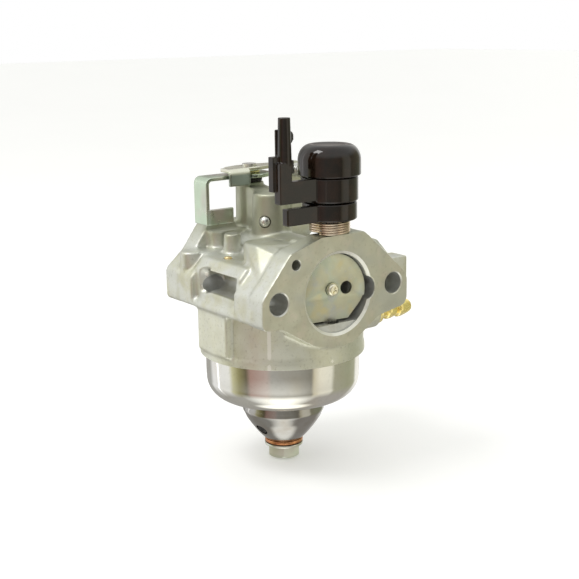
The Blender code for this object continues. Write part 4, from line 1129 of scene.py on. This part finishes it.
def threaded(start, end, radius):
    """A bar whose surface has a rolled thread's ridges."""
    start, end = Vector(start), Vector(end)
    length = (end - start).length
    profile = [(0, 0), (radius * 0.8, 0)]
    count = int((length - 0.6) / THREAD_PITCH)
    for k in range(count):
        z = 0.3 + k * THREAD_PITCH
        for part, reach in ((0, 0.84), (0.35, 1), (0.55, 1), (0.9, 0.84)):
            profile.append((radius * reach, z + THREAD_PITCH * part))
    profile += [(radius * 0.8, length), (0, length)]
    return turned("thread", profile, start, end - start, 32)


def slotted_head(start, end, radius, slot_low, slot_high):
    """A round screw head with a chamfered rim and a slot across its face."""
    start, end = Vector(start), Vector(end)
    length = (start - end).length
    profile = [
        (0, 0), (radius - 0.25, 0), (radius, 0.25), (radius, length - 0.15), (radius - 0.15, length),
        (0, length),
    ]
    head = turned("head", profile, start, end - start, 64)
    return cut(head, [box("slot", slot_low, slot_high)])


def adjusting_screws():
    """Stop screw along Y against the top plate, pilot screw along X, each with its spring."""
    stop = slotted_head(stop_axis(-29.6), stop_axis(-27.4), 2.6, (4.0, -30.5, 34.1), (11.5, -28.8, 34.9))
    fuse(stop, [threaded(stop_axis(-15.5), stop_axis(-27.6), 1.35)])
    piece(stop, "throttle_stop_screw", STEEL, "stop_screw_unit", 30, name="stop_screw_detail")
    coil = tube("coil", helix(stop_axis(-26.9), (0, 1, 0), 2.05, 0.95, 3.6), 0.27)
    piece(coil, "throttle_stop_spring", STEEL, "housing", name="stop_spring_detail")
    pilot = slotted_head(pilot_axis(27.9), pilot_axis(25.6), 2.5, (27.0, -16.0, 13.0), (29.0, -9.0, 13.8))
    fuse(pilot, [threaded(pilot_axis(12.2), pilot_axis(25.8), 1.15)])
    piece(pilot, "pilot_screw", BRASS, "pilot_screw_unit", 30)
    coil = tube("coil", helix(pilot_axis(21.7), (1, 0, 0), 1.95, 0.95, 3.6), 0.27)
    piece(coil, "pilot_spring", SPRING, "housing")


# ---------------------------------------------------------------- choke group

def barrel(radius, low, high):
    """Upright drum of a moulded lever, with softened rims."""
    rim = 0.35
    return turned("barrel", [(0, low), (radius - rim, low), (radius, low + rim), (radius, high - rim),
                             (radius - rim, high), (0, high)], (0, CHOKE_Y, 0))


def choke_levers():
    """Moulded lower and upper levers and the dished cap on top."""
    near, far = -54.15, -51.35
    low, high = LOWER_LOW.z, LOWER_HIGH.z
    arm = box("arm", (LOWER_LOW.x, near, low), (-5.0, far, 27.9))
    lower = moulded("lower", [barrel(8.4, low, high), arm], 0.25, 2)
    cut(lower, [upright("hole", CHOKE_Y, low - 1, high + 1, SHAFT_R + 0.25)])
    piece(lower, "choke_lower_lever", PLASTIC, "choke_rotor", 40)

    low, high = 28.5, 35.9
    post_x, post_y, post_top = -18.1, -52.2, UPPER_HIGH.z
    fin_left, fin_near, fin_top = -19.1, -49.5, 50.8
    fin_far = fin_near + 0.9
    hook_x, hook_z = fin_left + 4.4, fin_top - 2.5
    shapes = [
        barrel(8.75, low, high),
        box("arm", (-18.6, near, 29.4), (-5.0, far, 35.9)),
        box("block", (-21.1, near, 29.4), (-16.9, -50.9, 41.4)),
        box("rear_block", (-22.0, -51.8, 33.0), (-18.0, -49.4, 43.2)),
        upright("post", post_y, 40.8, post_top, 2.1, 1.8, x=post_x),
        box("fin", (fin_left, fin_near, 40.6), (fin_left + 4.2, fin_far, fin_top)),
        rod("fin_hook", (hook_x, fin_near, hook_z), (hook_x, fin_far, hook_z), 2.1),
        box("fin_foot", (fin_left - 0.5, post_y - 0.3, 38.0), (fin_left + 4.2, fin_far, 42.0)),
    ]
    upper = moulded("upper", shapes, 0.22, 2)
    cut(upper, [upright("hole", CHOKE_Y, low - 1, high + 1, SHAFT_R + 0.3)])
    piece(upper, "choke_upper_lever", PLASTIC, "choke_arm", 40)

    low, high = CAP_LOW.z, CAP_HIGH.z
    profile = [(0, low), (CAP_R - 0.3, low), (CAP_R, low + 0.3), (CAP_R, high - 5.2)]
    for k in range(14):
        angle = math.radians(4 + 6 * k)
        profile.append((CAP_R - 3.9 + 3.9 * math.cos(angle), high - 4.8 + 4.8 * math.sin(angle)))
    profile += [(5.2, high - 0.1), (4.6, high - 0.3), (3.0, high - 0.42), (0, high - 0.42)]
    piece(turned("cap", profile, (0, CHOKE_Y, 0), segments=128), "choke_cap", PLASTIC, "choke_arm")


def choke_spring():
    """Torsion spring round the choke boss, with one leg out to the lower lever."""
    coil = helix((0, CHOKE_Y, 18.85), (0, 0, 1), 5.95, 0.74, 4.4, start_deg=20, per_turn=48)
    leg_start = coil[-1]
    coil.append(leg_start + Vector((-1.2, -0.8, 0.1)))
    coil.append(leg_start + Vector((-2.4, -1.5, 0.15)))
    piece(tube("coil", coil, 0.36), "choke_spring", SPRING, "housing", 60)


def kept_nodes():
    """Pieces whose CAD shape is right: new finishes and softened edges."""
    looks = {
        "throttle_shaft": STEEL, "choke_shaft": STEEL, "bowl_gasket": RUBBER, "main_nozzle": BRASS,
        "main_jet": BRASS, "pilot_jet": BRASS, "float": FLOAT, "float_pin": STEEL, "needle_seat": BRASS,
        "float_needle": BRASS,
    }
    for node, (material, slot) in looks.items():
        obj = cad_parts[node]
        obj.data.materials.clear()
        obj.data.materials.append(material)
        edge = obj.modifiers.new("edges", "BEVEL")
        edge.width = 0.12 * MM
        edge.segments = 2
        edge.limit_method = "ANGLE"
        edge.angle_limit = math.radians(35)


# ---------------------------------------------------------------- studio

CAMERA_AZIMUTH = -36.64
CAMERA_ELEVATION = 13.39
CAMERA_ROLL = -0.81
CAMERA_LENS = 69.69
CAMERA_SENSOR = 36.0
CAMERA_AT = (-0.21090, -0.31291, 0.08087)


def camera():
    """A long lens from the front left, a little above the flanges."""
    data = bpy.data.cameras.new("camera")
    data.sensor_width = CAMERA_SENSOR
    data.lens = CAMERA_LENS
    data.clip_start = 0.01
    data.clip_end = 20.0
    cam = bpy.data.objects.new("camera", data)
    bpy.context.scene.collection.objects.link(cam)
    a, e, r = (math.radians(v) for v in (CAMERA_AZIMUTH, CAMERA_ELEVATION, CAMERA_ROLL))
    back = Vector((math.sin(a) * math.cos(e), -math.cos(a) * math.cos(e), math.sin(e)))
    right = Vector((math.cos(a), math.sin(a), 0.0))
    up = back.cross(right)
    side = right * math.cos(r) + up * math.sin(r)
    top = up * math.cos(r) - right * math.sin(r)
    cam.matrix_world = Matrix.Translation(CAMERA_AT) @ Matrix((side, top, back)).transposed().to_4x4()
    bpy.context.scene.camera = cam


def floor():
    """Pale studio floor, just under the bolt's foot."""
    bm = bmesh.new()
    bmesh.ops.create_grid(bm, x_segments=24, y_segments=24, size=4.0)
    bmesh.ops.translate(bm, vec=(0, 0, cad_box[0].z - 0.0005), verts=bm.verts)
    obj = solid("floor", bm)
    surface = Surface("floor", (0.93, 0.93, 0.92), 0.0, 0.6)
    surface.tint(surface.noise(120, 2), (0.91, 0.91, 0.90), 0.4, 0.6, 0.6)
    surface.relief(surface.noise(2, 2), 0.02, 0.2)
    surface.shader.inputs["Emission Color"].default_value = (1, 1, 1, 1)
    surface.shader.inputs["Emission Strength"].default_value = 0.2
    obj.data.materials.append(surface.material)
    obj.visible_glossy = False


def fill_ramp(ramp, stops):
    """Set a colour ramp's stops from (position, colour) pairs."""
    elements = ramp.color_ramp.elements
    while len(elements) < len(stops):
        elements.new(0.5)
    for element, (position, colour) in zip(elements, stops):
        element.position = position
        element.color = colour


def card_stops(cards):
    """Ramp stops from (degrees round the horizon, colour) pairs."""
    return [(degrees / 360 + 0.5, (*colour, 1.0)) for degrees, colour in cards]


def surroundings():
    """White studio seen as backdrop; in reflections, white cards with a dim room beyond.

    One ring of cards stands at the object's height and a second one lies lower. Each ring runs once
    round the horizon, and its middle is the side that the object's front left faces. Bands of height
    put a pale ceiling above them and a white field straight below.
    """
    world = bpy.data.worlds.new("studio")
    bpy.context.scene.world = world
    world.use_nodes = True
    tree = world.node_tree
    tree.nodes.clear()

    def node(kind, **values):
        made = tree.nodes.new("ShaderNode" + kind)
        for key, value in values.items():
            setattr(made, key, value)
        return made

    place, out = node("TexCoord"), node("OutputWorld")
    spin = node("Mapping")
    spin.inputs["Rotation"].default_value = (0, 0, math.radians(90.0 - CAMERA_AZIMUTH))
    around = node("TexGradient", gradient_type="RADIAL")
    high_ring, low_ring, by_height = node("ValToRGB"), node("ValToRGB"), node("ValToRGB")
    fill_ramp(high_ring, card_stops([
        (-180, (0.40, 0.38, 0.36)), (-140, (0.42, 0.42, 0.40)), (-130, (0.88, 0.88, 0.88)),
        (-116, (0.88, 0.88, 0.88)), (-114, (2.6, 2.6, 2.6)), (-112, (0.88, 0.88, 0.87)),
        (-88, (0.90, 0.90, 0.87)), (-81, (0.62, 0.60, 0.38)), (-69, (0.32, 0.30, 0.15)),
        (-56, (0.15, 0.13, 0.08)), (-49, (0.42, 0.28, 0.24)), (-24, (0.50, 0.40, 0.36)),
        (-16, (0.40, 0.39, 0.36)), (24, (0.34, 0.33, 0.29)), (44, (0.25, 0.24, 0.20)),
        (48, (0.66, 0.61, 0.46)), (58, (0.90, 0.86, 0.72)), (78, (0.86, 0.84, 0.72)),
        (84, (0.40, 0.39, 0.29)), (116, (0.36, 0.37, 0.26)), (136, (0.44, 0.45, 0.34)),
        (143, (1.0, 1.0, 0.96)), (166, (1.0, 1.0, 0.96)), (173, (0.40, 0.38, 0.36)),
    ]))
    fill_ramp(low_ring, card_stops([
        (-180, (0.36, 0.35, 0.33)), (-110, (0.40, 0.39, 0.36)), (-70, (0.42, 0.41, 0.38)),
        (-42, (1.0, 1.0, 0.95)), (-15, (1.5, 1.5, 1.42)), (15, (1.5, 1.5, 1.42)),
        (36, (1.0, 1.0, 0.95)), (58, (0.40, 0.38, 0.35)), (120, (0.40, 0.38, 0.35)),
        (180, (0.36, 0.35, 0.33)),
    ]))
    bands = [
        (-1.0, (1.5, 1.5, 1.42, 1.0)), (-0.97, (1.5, 1.5, 1.42, 0.9)), (-0.92, (1.2, 1.2, 1.1, 0.0)),
        (0.30, (1.0, 1.0, 0.98, 0.0)), (0.60, (0.90, 0.92, 0.90, 1.0)), (1.0, (0.95, 0.95, 0.95, 1.0)),
    ]
    fill_ramp(by_height, [((level + 1) / 2, colour) for level, colour in bands])
    height = node("SeparateXYZ")
    lower, tilt = node("MapRange"), node("MapRange")
    lower.inputs["From Min"].default_value = -0.36
    lower.inputs["From Max"].default_value = -0.66
    tilt.inputs["From Min"].default_value = -1.0
    rings, mix = node("Mix", data_type="RGBA"), node("Mix", data_type="RGBA")
    room, backdrop = node("Background"), node("Background")
    backdrop.inputs["Color"].default_value = (1, 1, 1, 1)
    seen, choose = node("LightPath"), node("MixShader")
    for source, output, target, entry in (
        (place, "Generated", spin, "Vector"), (spin, "Vector", around, "Vector"),
        (around, "Fac", high_ring, "Fac"), (around, "Fac", low_ring, "Fac"),
        (place, "Generated", height, "Vector"), (height, "Z", lower, "Value"),
        (height, "Z", tilt, "Value"), (tilt, "Result", by_height, "Fac"),
        (lower, "Result", rings, "Factor"), (high_ring, "Color", rings, "A"),
        (low_ring, "Color", rings, "B"), (by_height, "Alpha", mix, "Factor"),
        (rings, "Result", mix, "A"), (by_height, "Color", mix, "B"), (mix, "Result", room, "Color"),
        (seen, "Is Camera Ray", choose, "Fac"), (room, "Background", choose, 1),
        (backdrop, "Background", choose, 2), (choose, "Shader", out, "Surface"),
    ):
        tree.links.new(source.outputs[output], target.inputs[entry])


def lamp(name, at, size, power, colour=(1, 1, 1)):
    """A soft square lamp aimed at the object."""
    data = bpy.data.lights.new(name, "AREA")
    data.shape = "SQUARE"
    data.size = size
    data.energy = power
    data.color = colour
    obj = bpy.data.objects.new(name, data)
    bpy.context.scene.collection.objects.link(obj)
    obj.location = at
    aim = Vector((0, -0.027, 0)) - Vector(at)
    obj.rotation_mode = "QUATERNION"
    obj.rotation_quaternion = aim.to_track_quat("-Z", "Y")


def studio():
    camera()
    floor()
    surroundings()
    lamp("overhead", (-0.37, 0.06, 0.62), 0.26, 1.5)
    lamp("left", (-0.75, 0.20, 0.30), 0.25, 0.4, (0.95, 0.98, 1.0))
    bpy.context.scene.view_settings.view_transform = "Standard"


carburetor_body()
passage_plugs()
float_bowl()
sediment_cup()
bowl_fastener()
fuel_inlet_pipe()
throttle_parts()
throttle_valve()
adjusting_screws()
choke_valve()
choke_levers()
choke_spring()
kept_nodes()
studio()
